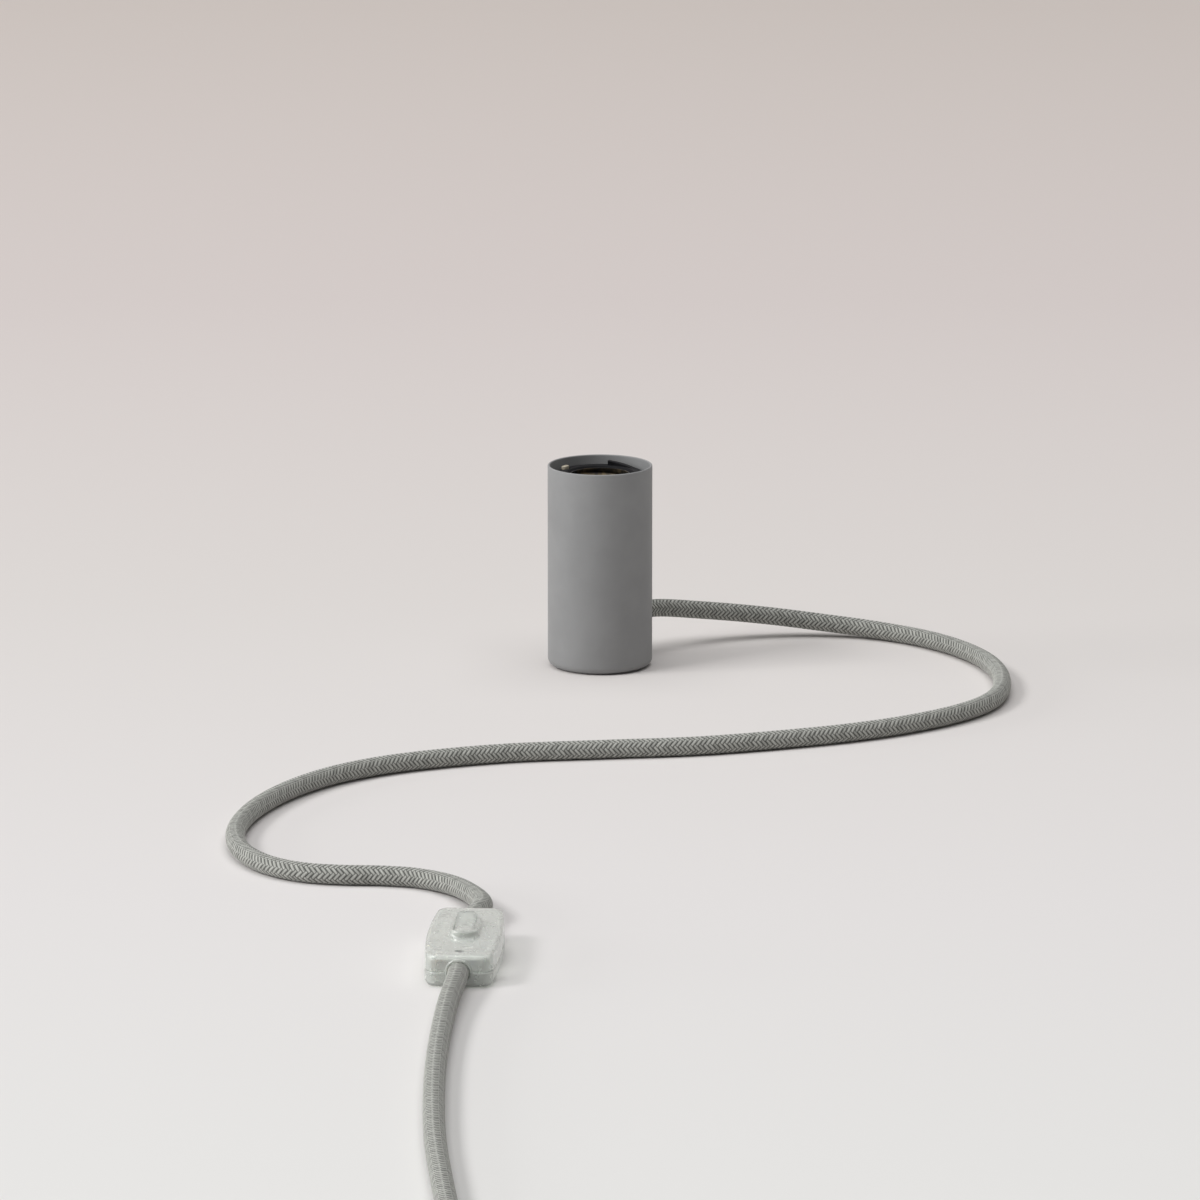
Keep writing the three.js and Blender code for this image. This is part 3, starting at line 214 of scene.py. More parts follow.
# The yarn colour's shares: painted shade from each yarn's crown down to near black in the gaps, the
# filaments' streaks, and each yarn's own tone.
PAINTED_GAP_SHADE_SHARE, FILAMENT_SHARE, LOT_SHARE = 0.62, 0.42, 0.12
CORD_GAP = 0.0003
EXIT_TURN = math.radians(55.0)
EXIT_HEIGHT = 0.019
BUSH_FACE = 0.0246
SWITCH_TURN = math.radians(-3.0)
SWITCH_X, SWITCH_Y = -0.0513, -0.5028
SWITCH_LENGTH = 0.0725
SWITCH_PARTING = 0.0062
COIL_X, COIL_Y = 0.0042, -0.92
COIL_OUTER, COIL_MIDDLE, COIL_INNER = 0.0429, 0.039, 0.0351
INNER_START, INNER_RUN = 490.0, 60.0
TOP_START, TOP_RUN = 840.0, 40.0
RISE_START, RISE_RUN, RISE = 815.0, 50.0, 0.00675
CREST_TURN, CREST_RUN, CREST = 880.0, 35.0, 0.00105
COIL_LIFT = 0.00108
TIE_TURN, TIE_SPREAD = 225.0, 34.0
PLUG_X, PLUG_Y, PLUG_HEIGHT = 0.092, -0.946, 0.00685


def along_exit(reach):
    """A point on the line through the cup's wall bush, a reach from the cup's middle."""
    return (math.cos(EXIT_TURN) * reach, math.sin(EXIT_TURN) * reach, EXIT_HEIGHT)


def along_switch(reach):
    """A point on the switch's long middle line."""
    across, along = math.sin(SWITCH_TURN) * reach, math.cos(SWITCH_TURN) * reach
    return (SWITCH_X - across, SWITCH_Y + along, SWITCH_PARTING)


lamp_side_route = [
    along_exit(BUSH_FACE + CORD_GAP), along_exit(BUSH_FACE + 0.006), (0.0265, 0.0348, 0.0178),
    (0.0448, 0.0456, 0.0144), (0.0626, 0.0519, 0.0116), (0.0806, 0.0556, 0.0089), (0.099, 0.056, 0.0064),
    (0.117, 0.0522, 0.0048), (0.134, 0.0432, CORD_REST), (0.1505, 0.0268, CORD_REST),
    (0.1638, 0.005, CORD_REST), (0.1723, -0.02, CORD_REST), (0.175, -0.05, CORD_REST),
    (0.1712, -0.078, CORD_REST), (0.163, -0.097, CORD_REST), (0.149, -0.1145, CORD_REST),
    (0.128, -0.132, CORD_REST), (0.106, -0.145, CORD_REST), (0.084, -0.1546, CORD_REST),
    (0.042, -0.1686, CORD_REST), (-0.0005, -0.1752, CORD_REST), (-0.042, -0.1823, CORD_REST),
    (-0.084, -0.1994, CORD_REST), (-0.107, -0.217, CORD_REST), (-0.1235, -0.2385, CORD_REST),
    (-0.136, -0.264, CORD_REST), (-0.144, -0.292, CORD_REST), (-0.1467, -0.3208, CORD_REST),
    (-0.1423, -0.3485, CORD_REST), (-0.1316, -0.369, CORD_REST), (-0.1175, -0.3804, CORD_REST),
    (-0.102, -0.3846, CORD_REST), (-0.087, -0.3856, CORD_REST), (-0.0715, -0.3898, CORD_REST),
    (-0.059, -0.401, 0.0044), (-0.0506, -0.418, 0.0052), (-0.0454, -0.44, SWITCH_PARTING),
    along_switch(SWITCH_LENGTH / 2 + 0.01), along_switch(SWITCH_LENGTH / 2 + CORD_GAP),
]


def ease(share):
    """A smooth step from 0 to 1."""
    share = min(max(share, 0.0), 1.0)
    return share * share * (3.0 - 2.0 * share)


def hump(share):
    """A smooth rise to 1 at 0, and back to 0 at 1 on either side."""
    return max(0.0, 1.0 - share * share) ** 2


def coil_point(turn):
    """A point of the coil: one outer turn, one inner turn, then up and over the way in."""
    radius = COIL_OUTER + (COIL_INNER - COIL_OUTER) * ease((turn - INNER_START) / INNER_RUN)
    radius += (COIL_MIDDLE - COIL_INNER) * ease((turn - TOP_START) / TOP_RUN)
    height = CORD_REST + RISE * ease((turn - RISE_START) / RISE_RUN)
    height += CREST * hump((turn - CREST_TURN) / CREST_RUN)
    from_tie = (turn - TIE_TURN + 180.0) % 360.0 - 180.0
    height += COIL_LIFT * hump(from_tie / TIE_SPREAD)
    angle = math.radians(turn)
    return (COIL_X + radius * math.cos(angle), COIL_Y + radius * math.sin(angle), height)


def off_coil(radius, turn, reach, height):
    """A point on the straight line that touches the coil at an angle, a reach from the touch."""
    angle = math.radians(turn)
    return (COIL_X + radius * math.cos(angle) - reach * math.sin(angle),
            COIL_Y + radius * math.sin(angle) + reach * math.cos(angle), height)


plug_side_route = [
    along_switch(-SWITCH_LENGTH / 2 - CORD_GAP), along_switch(-SWITCH_LENGTH / 2 - 0.01),
    (-0.0562, -0.574, 0.005), (-0.0582, -0.612, 0.0042), (-0.0593, -0.656, CORD_REST),
    (-0.0591, -0.703, CORD_REST),
    (-0.0576, -0.753, CORD_REST), (-0.0544, -0.801, CORD_REST), (-0.0509, -0.843, CORD_REST),
    off_coil(COIL_OUTER, 190.0, -0.0493, CORD_REST), off_coil(COIL_OUTER, 190.0, -0.0273, CORD_REST),
    off_coil(COIL_OUTER, 190.0, -0.0100, CORD_REST),
]
plug_side_route += [coil_point(190.0 + 10.0 * i) for i in range(82)]
plug_side_route += [
    off_coil(COIL_MIDDLE, 285.0, 0.008, 0.0112), off_coil(COIL_MIDDLE, 285.0, 0.018, 0.0118),
    off_coil(COIL_MIDDLE, 285.0, 0.0252, 0.0115), off_coil(COIL_MIDDLE, 285.0, 0.0322, 0.0104),
    off_coil(COIL_MIDDLE, 285.0, 0.0462, 0.0084),
    (0.08, -0.9466, 0.0069), (PLUG_X - CORD_GAP, PLUG_Y, PLUG_HEIGHT),
]


def smooth_way(points, step):
    """Points an even step apart on the centripetal curve through the given ones."""
    row = [Vector(point) for point in points]
    row = [row[0] * 2 - row[1], *row, row[-1] * 2 - row[-2]]
    fine = []
    for p0, p1, p2, p3 in zip(row, row[1:], row[2:], row[3:]):
        t1 = (p1 - p0).length ** 0.5
        t2 = t1 + (p2 - p1).length ** 0.5
        t3 = t2 + (p3 - p2).length ** 0.5
        cuts = max(4, math.ceil((p2 - p1).length / 0.0004))
        for k in range(cuts):
            t = t1 + (t2 - t1) * k / cuts
            a1 = p0.lerp(p1, t / t1)
            a2 = p1.lerp(p2, (t - t1) / (t2 - t1))
            a3 = p2.lerp(p3, (t - t2) / (t3 - t2))
            b1 = a1.lerp(a2, t / t2)
            b2 = a2.lerp(a3, (t - t1) / (t3 - t1))
            fine.append(b1.lerp(b2, (t - t1) / (t2 - t1)))
    fine.append(row[-2].copy())
    lengths = [0.0]
    for p, q in zip(fine, fine[1:]):
        lengths.append(lengths[-1] + (q - p).length)
    count = round(lengths[-1] / step)
    even, i = [], 0
    for k in range(count + 1):
        want = lengths[-1] * k / count
        while i < len(fine) - 2 and lengths[i + 1] < want:
            i += 1
        share = (want - lengths[i]) / (lengths[i + 1] - lengths[i])
        even.append(fine[i].lerp(fine[i + 1], share))
    return even


def sweep(way, sides, radius_at):
    """Vertices of a tube round a way, its radius given by length and side."""
    verts, lengths, length = [], [], 0.0
    across = Vector((0.0, 0.0, 1.0))
    for i, point in enumerate(way):
        tangent = (way[min(i + 1, len(way) - 1)] - way[max(i - 1, 0)]).normalized()
        if i:
            length += (point - way[i - 1]).length
        across = (across - tangent * across.dot(tangent)).normalized()
        beside = tangent.cross(across)
        for k in range(sides):
            angle = 2.0 * math.pi * k / sides
            radius = radius_at(length, k)
            verts.append(point + (across * math.cos(angle) + beside * math.sin(angle)) * radius)
        lengths.append(length)
    return verts, lengths


def tube_faces(rings, sides):
    """The faces of a tube of rings with as many sides, closed at both ends."""
    faces = [tuple(range(sides - 1, -1, -1))]
    for i in range(rings - 1):
        for k in range(sides):
            low, high = i * sides, (i + 1) * sides
            faces.append((low + k, low + (k + 1) % sides, high + (k + 1) % sides, high + k))
    faces.append(tuple(range((rings - 1) * sides, rings * sides)))
    return faces


def strand_crown(length, side):
    """How high the yarn on top stands here: 0 at its edge, 1 on its crown, in a two over two braid."""
    x = side * 2.0 * BRAID_COLUMNS / BRAID_SIDES + 1e-5
    y = 2.0 * length / BRAID_PITCH + 1e-5
    first, second = (x + y) / 2.0, (x - y) / 2.0
    on_top = (math.floor(first) + math.floor(second)) % 4 < 2
    return math.sin(math.pi * ((first if on_top else second) % 1.0))


def braided(name, way, finish):
    """A tube whose skin is the braid itself, with the braid's own coordinates for its yarn."""
    verts, lengths = sweep(way, BRAID_SIDES, lambda length, side: (
        CORD_RADIUS + BRAID_DEPTH * (strand_crown(length, side) - BRAID_LEVEL)))
    mesh = bpy.data.meshes.new(name)
    mesh.from_pydata(verts, [], tube_faces(len(way), BRAID_SIDES))
    flat = [0.0, 0.0] * BRAID_SIDES
    for low, high in zip(lengths, lengths[1:]):
        for k in range(BRAID_SIDES):
            left, right = k / BRAID_SIDES, (k + 1) / BRAID_SIDES
            flat += [left, low, right, low, right, high, left, high]
    flat += [0.0, lengths[-1]] * BRAID_SIDES
    mesh.uv_layers.new(name="braid").data.foreach_set("uv", flat)
    mesh.polygons.foreach_set("use_smooth", [True] * len(mesh.polygons))
    mesh.materials.append(finish)
    return placed(name, mesh)


def calculator(tree):
    """Adds one calculating node per call and gives back its result."""
    def calc(operation, *values):
        node = tree.nodes.new("ShaderNodeMath")
        node.operation = operation
        for socket, value in zip(node.inputs, values):
            if isinstance(value, (int, float)):
                socket.default_value = value
            else:
                tree.links.new(value, socket)
        return node.outputs[0]
    return calc


yarn, tree, shader = new_finish("braided_yarn", 0.72)
calc = calculator(tree)
braid_map = tree.nodes.new("ShaderNodeUVMap")
braid_map.uv_map = "braid"
braid_split = tree.nodes.new("ShaderNodeSeparateXYZ")
tree.links.new(braid_map.outputs["UV"], braid_split.inputs[0])
around = calc("MULTIPLY", braid_split.outputs["X"], 2.0 * BRAID_COLUMNS)
onward = calc("MULTIPLY", braid_split.outputs["Y"], 2.0 / BRAID_PITCH)
first_yarn = calc("MULTIPLY", calc("ADD", around, onward), 0.5)
second_yarn = calc("MULTIPLY", calc("SUBTRACT", around, onward), 0.5)
cell = calc("ADD", calc("FLOOR", first_yarn), calc("FLOOR", second_yarn))
on_top = calc("LESS_THAN", calc("WRAP", cell, 4.0, 0.0), 1.5)
across_yarn = calc("ADD", calc("MULTIPLY", calc("FRACT", first_yarn), on_top),
                   calc("MULTIPLY", calc("FRACT", second_yarn), calc("SUBTRACT", 1.0, on_top)))
along_yarn = calc("ADD", calc("MULTIPLY", second_yarn, on_top),
                  calc("MULTIPLY", first_yarn, calc("SUBTRACT", 1.0, on_top)))
which_yarn = calc("WRAP", calc("FLOOR", calc("SUBTRACT", calc("ADD", first_yarn, second_yarn), along_yarn)),
                  float(BRAID_COLUMNS), 0.0)
crown = calc("POWER", calc("SINE", calc("MULTIPLY", across_yarn, math.pi)), 0.8)
filament_place = tree.nodes.new("ShaderNodeCombineXYZ")
tree.links.new(calc("MULTIPLY", across_yarn, 7.0), filament_place.inputs["X"])
tree.links.new(calc("MULTIPLY", along_yarn, 0.9), filament_place.inputs["Y"])
tree.links.new(calc("MULTIPLY", which_yarn, 5.3), filament_place.inputs["Z"])
filaments = tree.nodes.new("ShaderNodeTexNoise")
filaments.inputs["Scale"].default_value = 1.0
filaments.inputs["Detail"].default_value = 2.0
tree.links.new(filament_place.outputs[0], filaments.inputs["Vector"])
yarn_lot = tree.nodes.new("ShaderNodeTexWhiteNoise")
yarn_lot.noise_dimensions = "1D"
tree.links.new(which_yarn, yarn_lot.inputs["W"])
# Painted shade: the colour runs from near black in the gaps between the yarns to light on their crowns, with
# the filaments and each yarn's own tone on top.
yarn_tone_and_painted_shade = calc("ADD", calc("MULTIPLY", crown, PAINTED_GAP_SHADE_SHARE),
                  calc("ADD", calc("MULTIPLY", filaments.outputs["Fac"], FILAMENT_SHARE),
                       calc("MULTIPLY", yarn_lot.outputs["Value"], LOT_SHARE)))
shades(tree, shader, yarn_tone_and_painted_shade, [
    (0.14, (0.016, 0.017, 0.016)), (0.45, (0.105, 0.108, 0.099)), (0.7, (0.27, 0.274, 0.252)),
    (0.95, (0.53, 0.535, 0.5)),
])
relief(tree, shader, calc("ADD", crown, calc("MULTIPLY", filaments.outputs["Fac"], 0.5)), 0.00022, 0.9)
shader.inputs["Sheen Weight"].default_value = 0.12
shader.inputs["Specular IOR Level"].default_value = 0.3


def stand_for(piece, body, slot, *nodes):
    """The piece moves with a body and is shown for its solids. The slot is not used."""
    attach(piece, body)
    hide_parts(*nodes)


def on_table(way):
    """The same points, none lower than the middle of a cord at rest on the table."""
    return [Vector((point.x, point.y, max(point.z, CORD_REST))) for point in way]


lamp_side_way = on_table(smooth_way(lamp_side_route, BRAID_PITCH / 4))
lamp_side_cord = braided("textile_cord_lamp_side", lamp_side_way, yarn)
stand_for(lamp_side_cord, "base", "textile", "lamp_side_cord")
plug_side_way = on_table(smooth_way(plug_side_route, BRAID_PITCH / 4))
plug_side_cord = braided("textile_cord_plug_side", plug_side_way, yarn)
stand_for(plug_side_cord, "base", "textile", "plug_side_cord", "plug_tail_cord", "cord_coil")


# The cup: one deep drawn steel shell, 46 mm across and 90 mm high with a 1 mm wall, a round
# foot edge and a rolled lip, powder coated matt grey inside and out. The cord's hole is low
# at the back.
CUP_RADIUS = 0.023
CUP_HEIGHT = 0.09
CUP_WALL = 0.001
CUP_FOOT_ROUND = 0.0033
CUP_FOOT_LOW = 0.0003
CUP_RECESS = 0.0019
CUP_FLOOR = 0.0034
CORD_HOLE, FOOT_HOLE = 0.0055, 0.0022
PAD_RADIUS, PAD_BORE = 0.017, 0.004
PAD_HIGH, PAD_ROUND, PAD_GAP = 0.0016, 0.0003, 0.0003


def arc(x, y, radius, start, end, steps):
    """Points of a round corner, from one angle to another in degrees."""
    angles = [math.radians(start + (end - start) * i / steps) for i in range(steps + 1)]
    return [(x + radius * math.cos(angle), y + radius * math.sin(angle)) for angle in angles]


def settle(piece, sharp=35.0):
    """Closes seams, turns the faces outward and smooths all but the edges over an angle."""
    work = bmesh.new()
    work.from_mesh(piece.data)
    bmesh.ops.remove_doubles(work, verts=work.verts, dist=1e-6)
    bmesh.ops.recalc_face_normals(work, faces=work.faces)
    for face in work.faces:
        face.smooth = True
    for edge in work.edges:
        edge.smooth = len(edge.link_faces) == 2 and edge.calc_face_angle(0.0) < math.radians(sharp)
    work.to_mesh(piece.data)
    work.free()
    return piece


def made(name, verts, faces, finish, sharp=35.0):
    """A new piece from its corners and faces."""
    mesh = bpy.data.meshes.new(name)
    mesh.from_pydata(verts, [], faces)
    mesh.materials.append(finish)
    return settle(placed(name, mesh), sharp)


def turned(name, profile, finish, sides=96, place=None):
    """A profile of radius and height turned about the Z axis, or about another one by a place."""
    verts, rings, faces = [], [], []
    for radius, height in profile:
        if radius < 1e-7:
            rings.append([len(verts)] * sides)
            verts.append((0.0, 0.0, height))
            continue
        rings.append(list(range(len(verts), len(verts) + sides)))
        turns = [2 * math.pi * k / sides for k in range(sides)]
        verts += [(radius * math.cos(turn), radius * math.sin(turn), height) for turn in turns]
    pairs = list(zip(rings, rings[1:]))
    if profile[0][0] > 1e-7:
        pairs.append((rings[-1], rings[0]))
    for low, high in pairs:
        for k in range(sides):
            corners = list(dict.fromkeys((low[k], low[(k + 1) % sides], high[(k + 1) % sides], high[k])))
            if len(corners) > 2:
                faces.append(corners)
    piece = made(name, verts, faces, finish)
    if place is not None:
        piece.data.transform(place)
    return piece


def rod(radius, start, end, sides=48):
    """A plain round bar between two points, used as a tool for holes and pins."""
    start, end = Vector(start), Vector(end)
    place = Matrix.Translation(start) @ (end - start).to_track_quat("Z", "Y").to_matrix().to_4x4()
    length = (end - start).length
    bar = turned("tool", [(0.0, 0.0), (radius, 0.0), (radius, length), (0.0, length)], None, sides, place)
    bar.data.materials.clear()
    return bar


def shaped(piece, operation, tools, sharp=35.0):
    """Cuts or joins tools with a piece and takes the tools away."""
    for tool in tools:
        step = piece.modifiers.new("step", "BOOLEAN")
        step.operation = operation
        step.solver = "EXACT"
        step.object = tool
    graph = bpy.context.evaluated_depsgraph_get()
    mesh = bpy.data.meshes.new_from_object(piece.evaluated_get(graph))
    piece.modifiers.clear()
    piece.data = mesh
    for tool in tools:
        bpy.data.objects.remove(tool)
    return settle(piece, sharp)


powder_coat, tree, shader = new_finish("grey_powder_coat", 0.56)
fine = grain(tree, 3200.0, 3.0)
shades(tree, shader, grain(tree, 70.0, 4.0), [(0.3, (0.256, 0.259, 0.261)), (0.7, (0.285, 0.288, 0.29))])
spread(tree, fine, 0.5, 0.66, shader.inputs["Roughness"])
relief(tree, shader, fine, 0.00003, 0.5)
shader.inputs["Specular IOR Level"].default_value = 0.4

lip = CUP_WALL / 2
cup_inside = CUP_RADIUS - CUP_WALL
inner_round = CUP_FOOT_ROUND - CUP_WALL
cup = turned("powder_coated_cup", [
    (0.0, CUP_RECESS), (PAD_RADIUS + PAD_GAP, CUP_RECESS), (PAD_RADIUS + PAD_GAP, CUP_FOOT_LOW),
    *arc(CUP_RADIUS - CUP_FOOT_ROUND, CUP_FOOT_LOW + CUP_FOOT_ROUND, CUP_FOOT_ROUND, -90, 0, 10),
    *arc(CUP_RADIUS - lip, CUP_HEIGHT - lip, lip, 0, 180, 10),
    *arc(cup_inside - inner_round, CUP_FLOOR + inner_round, inner_round, 0, -90, 8), (0.0, CUP_FLOOR),
], powder_coat, 160)
shaped(cup, "DIFFERENCE", [rod(CORD_HOLE, along_exit(0.018), along_exit(0.028)),
                           rod(FOOT_HOLE, (0.0, 0.0, -0.001), (0.0, 0.0, 0.006))])
stand_for(cup, "base", "powder_coat", "holder_cup")

foam, tree, shader = new_finish("foot_foam", 0.95)
cells = grain(tree, 2600.0, 3.0)
shades(tree, shader, cells, [(0.3, (0.012, 0.012, 0.012)), (0.7, (0.04, 0.04, 0.04))])
relief(tree, shader, cells, 0.00015)
foot_pad = turned("foot_foam_ring", [
    (PAD_BORE, 0.0), *arc(PAD_RADIUS - PAD_ROUND, PAD_ROUND, PAD_ROUND, -90, 0, 4),
    (PAD_RADIUS, PAD_HIGH), (PAD_BORE, PAD_HIGH)], foam)
stand_for(foot_pad, "base", "foot_pad", "foot_pad")


# The wall bush: a black nylon grommet that lines the cord's hole, with a flange on each side
# of the cup's wall and a round mouth that doesn't chafe the braid.
BUSH_NECK = 0.0052
BUSH_FLANGE = 0.0074
BUSH_BORE = 0.0042
BUSH_INSIDE = 0.0204
BUSH_ROUND = 0.0006
WALL_IN, WALL_OUT = 0.0217, 0.0233

black_nylon, tree, shader = new_finish("black_nylon", 0.42)
skin = grain(tree, 4200.0, 2.0)
shades(tree, shader, grain(tree, 260.0, 3.0), [(0.3, (0.008, 0.008, 0.009)), (0.7, (0.016, 0.016, 0.018))])
spread(tree, skin, 0.34, 0.52, shader.inputs["Roughness"])
relief(tree, shader, skin, 0.00002, 0.5)

exit_side = Matrix.Rotation(EXIT_TURN, 4, "Z")
bush_place = Matrix.Translation((0.0, 0.0, EXIT_HEIGHT)) @ Matrix.Rotation(math.pi / 2, 4, "Y")
bush = turned("cord_bush_ring", [
    (BUSH_BORE + 0.0004, BUSH_INSIDE), (BUSH_NECK, BUSH_INSIDE), (BUSH_FLANGE, BUSH_INSIDE),
    (BUSH_FLANGE, BUSH_FACE - BUSH_ROUND),
    *arc(BUSH_FLANGE - BUSH_ROUND, BUSH_FACE - BUSH_ROUND, BUSH_ROUND, 0, 90, 4),
    *arc(BUSH_BORE + BUSH_ROUND, BUSH_FACE - BUSH_ROUND, BUSH_ROUND, 90, 180, 4), (BUSH_BORE, 0.0208),
], black_nylon, 64, bush_place)
wall_room = turned("tool", [
    (WALL_IN, 0.0), (WALL_OUT, 0.0), (WALL_OUT, 0.04), (WALL_IN, 0.04)], black_nylon, 160)
neck = turned("tool", [(BUSH_BORE, 0.0206), (BUSH_NECK, 0.0206), (BUSH_NECK, 0.0242), (BUSH_BORE, 0.0242)],
              black_nylon, 64, bush_place)
shaped(bush, "DIFFERENCE", [wall_room])
shaped(bush, "UNION", [neck])
bush.data.transform(exit_side)
stand_for(bush, "base", "black_plastic", "cord_bush")


# The bracket, anchor and saddle: a bent zinc plated strip carries the holder, and a moulded
# block and saddle on it clamp the cord, with slotted pan head screws and a hexagon nut.
SCREW_EASE = 0.00012


def eased(node, finish, slot, width, body="base"):
    """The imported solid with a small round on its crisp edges, as pressed and moulded pieces have."""
    work = bmesh.new()
    work.from_mesh(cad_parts[node].data)
    bmesh.ops.remove_doubles(work, verts=work.verts, dist=2e-6)
    bmesh.ops.dissolve_limit(work, angle_limit=math.radians(1.0), verts=work.verts, edges=work.edges)
    crisp = [edge for edge in work.edges
             if len(edge.link_faces) == 2 and edge.calc_face_angle(0.0) > math.radians(42.0)]
    bmesh.ops.bevel(work, geom=crisp, offset=width, segments=2, profile=0.5, affect="EDGES",
                    clamp_overlap=True)
    mesh = bpy.data.meshes.new(node)
    work.to_mesh(mesh)
    work.free()
    mesh.materials.append(finish)
    piece = settle(placed(f"{node}_finished", mesh), 30.0)
    stand_for(piece, body, slot, node)
    return piece


zinc, tree, shader = new_finish("zinc_plated_steel", 0.3, 1.0)
brushed = grain(tree, 900.0, 3.0, (1.0, 1.0, 7.0))
shades(tree, shader, brushed, [(0.3, (0.42, 0.43, 0.44)), (0.7, (0.6, 0.61, 0.62))])
spread(tree, brushed, 0.22, 0.42, shader.inputs["Roughness"])
relief(tree, shader, brushed, 0.00001, 0.4)

for node, width in (("holder_bracket", 0.00025), ("bracket_nut", 0.0003), ("bracket_screw", 0.00015),
                    ("saddle_screw_left", SCREW_EASE), ("saddle_screw_right", SCREW_EASE),
                    ("holder_screw_left", SCREW_EASE), ("holder_screw_right", SCREW_EASE)):
    eased(node, zinc, "plain_steel", width)
for node in ("cord_anchor", "cord_saddle"):
    eased(node, black_nylon, "black_plastic", 0.0003)


# The cord's end in the cup: the braid runs in through the bush and under the saddle, and
# beyond it the brown and the blue core go up to the terminals in smooth bends.
CORE_RADIUS, CORE_SIDES, CORE_STEP = 0.0012, 16, 0.0005

inner_way = smooth_way([along_exit(reach) for reach in (BUSH_FACE, 0.014, 0.003, -0.008)], BRAID_PITCH / 4)
inner_cord = braided("textile_cord_in_the_cup", inner_way, yarn)
stand_for(inner_cord, "base", "textile", "inner_cord")


def insulation(name, dark, light):
    """Smooth coloured plastic on a core."""
    finish, tree, shader = new_finish(name, 0.38)
    shades(tree, shader, grain(tree, 500.0, 2.0), [(0.3, dark), (0.7, light)])
    relief(tree, shader, grain(tree, 2500.0), 0.00001, 0.4)
    return finish


brown_core = insulation("brown_insulation", (0.1, 0.04, 0.018), (0.15, 0.06, 0.028))
blue_core = insulation("blue_insulation", (0.02, 0.08, 0.26), (0.035, 0.12, 0.36))


def core(name, node, route, finish, slot, place):
    """A smooth insulated wire along a route in millimetres."""
    way = smooth_way([place @ (Vector(point) * 0.001) for point in route], CORE_STEP)
    verts, _ = sweep(way, CORE_SIDES, lambda length, side: CORE_RADIUS)
    piece = made(name, verts, tube_faces(len(way), CORE_SIDES), finish)
    stand_for(piece, "base", slot, node)


core("line_core_in_the_cup", "line_core", [
    (-8.6, -1.4, 19.0), (-10.6, -1.4, 19.0), (-12.6, -1.0, 21.6), (-11.6, -0.4, 25.6), (-9.4, 0.0, 28.4),
    (-9.4, 0.0, 30.8)], brown_core, "line_insulation", exit_side)
core("neutral_core_in_the_cup", "neutral_core", [
    (-8.6, 1.4, 19.0), (-10.4, 1.4, 19.0), (-12.0, 2.6, 21.4), (-9.6, 3.0, 25.6), (-4.0, 2.4, 27.0),
    (4.0, 1.6, 27.0), (8.6, 0.2, 28.0), (9.4, 0.0, 29.2), (9.4, 0.0, 30.8)], blue_core,
     "neutral_insulation", exit_side)


# The holder's base: a black moulded block with the brass terminals in pockets below and the
# springy centre contact in a round well on top.
phenolic, tree, shader = new_finish("black_phenolic", 0.45)
swirl = grain(tree, 320.0, 4.0)
shades(tree, shader, swirl, [(0.3, (0.006, 0.006, 0.007)), (0.7, (0.014, 0.014, 0.016))])
spread(tree, swirl, 0.38, 0.55, shader.inputs["Roughness"])
relief(tree, shader, grain(tree, 3800.0), 0.00001, 0.3)
shader.inputs["Specular IOR Level"].default_value = 0.06

brass, tree, shader = new_finish("plain_brass", 0.3, 1.0)
tarnish = grain(tree, 380.0, 5.0)
shades(tree, shader, tarnish, [
    (0.25, (0.3, 0.19, 0.075)), (0.5, (0.52, 0.36, 0.14)), (0.75, (0.66, 0.48, 0.22))])
spread(tree, tarnish, 0.42, 0.24, shader.inputs["Roughness"])
relief(tree, shader, grain(tree, 2400.0), 0.00001, 0.4)

eased("holder_base", phenolic, "black_phenolic", 0.0003)
for node, width in (("line_terminal", 0.0003), ("neutral_terminal", 0.0003),
                    ("line_terminal_screw", SCREW_EASE), ("neutral_terminal_screw", SCREW_EASE),
                    ("centre_contact", SCREW_EASE)):
    eased(node, brass, "brass", width)


# The thread shell: one thin brass sleeve with a round thread rolled into it, which the
# bulb's cap screws into.
SHELL_LOW, SHELL_HIGH = 0.0523, 0.0859
THREAD_LOW = 0.0666
THREAD_HIGH = 0.0847
THREAD_PITCH = 0.00362
THREAD_DEPTH = 0.0011
THREAD_MEAN = 0.01275
SHELL_WALL = 0.0005
SHELL_SIDES = 96


def shell_ring(height, extra):
    """One ring of the sleeve, on the thread or beyond its run-out."""
    run_out = min(height - THREAD_LOW, THREAD_HIGH - height) / THREAD_PITCH * 2.0
    depth = THREAD_DEPTH / 2 * min(max(run_out, 0.0), 1.0)
    ring = []
    for k in range(SHELL_SIDES):
        angle = 2 * math.pi * k / SHELL_SIDES
        radius = THREAD_MEAN + extra + depth * math.cos(2 * math.pi * height / THREAD_PITCH - angle)
        ring.append((radius * math.cos(angle), radius * math.sin(angle), height))
    return ring


shell_heights = [SHELL_LOW, 0.058, THREAD_LOW]
shell_heights += [THREAD_LOW + THREAD_PITCH * i / 12 for i in range(1, 61)]
shell_heights += [SHELL_HIGH]
shell_rows = [shell_ring(height, SHELL_WALL) for height in shell_heights]
shell_rows += [shell_ring(height, 0.0) for height in reversed(shell_heights)]
shell_verts = [corner for ring in shell_rows for corner in ring]
shell_faces = []
for i in range(len(shell_rows)):
    low, high = i * SHELL_SIDES, (i + 1) % len(shell_rows) * SHELL_SIDES
    for k in range(SHELL_SIDES):
        n = (k + 1) % SHELL_SIDES
        shell_faces.append((low + k, low + n, high + n, high + k))
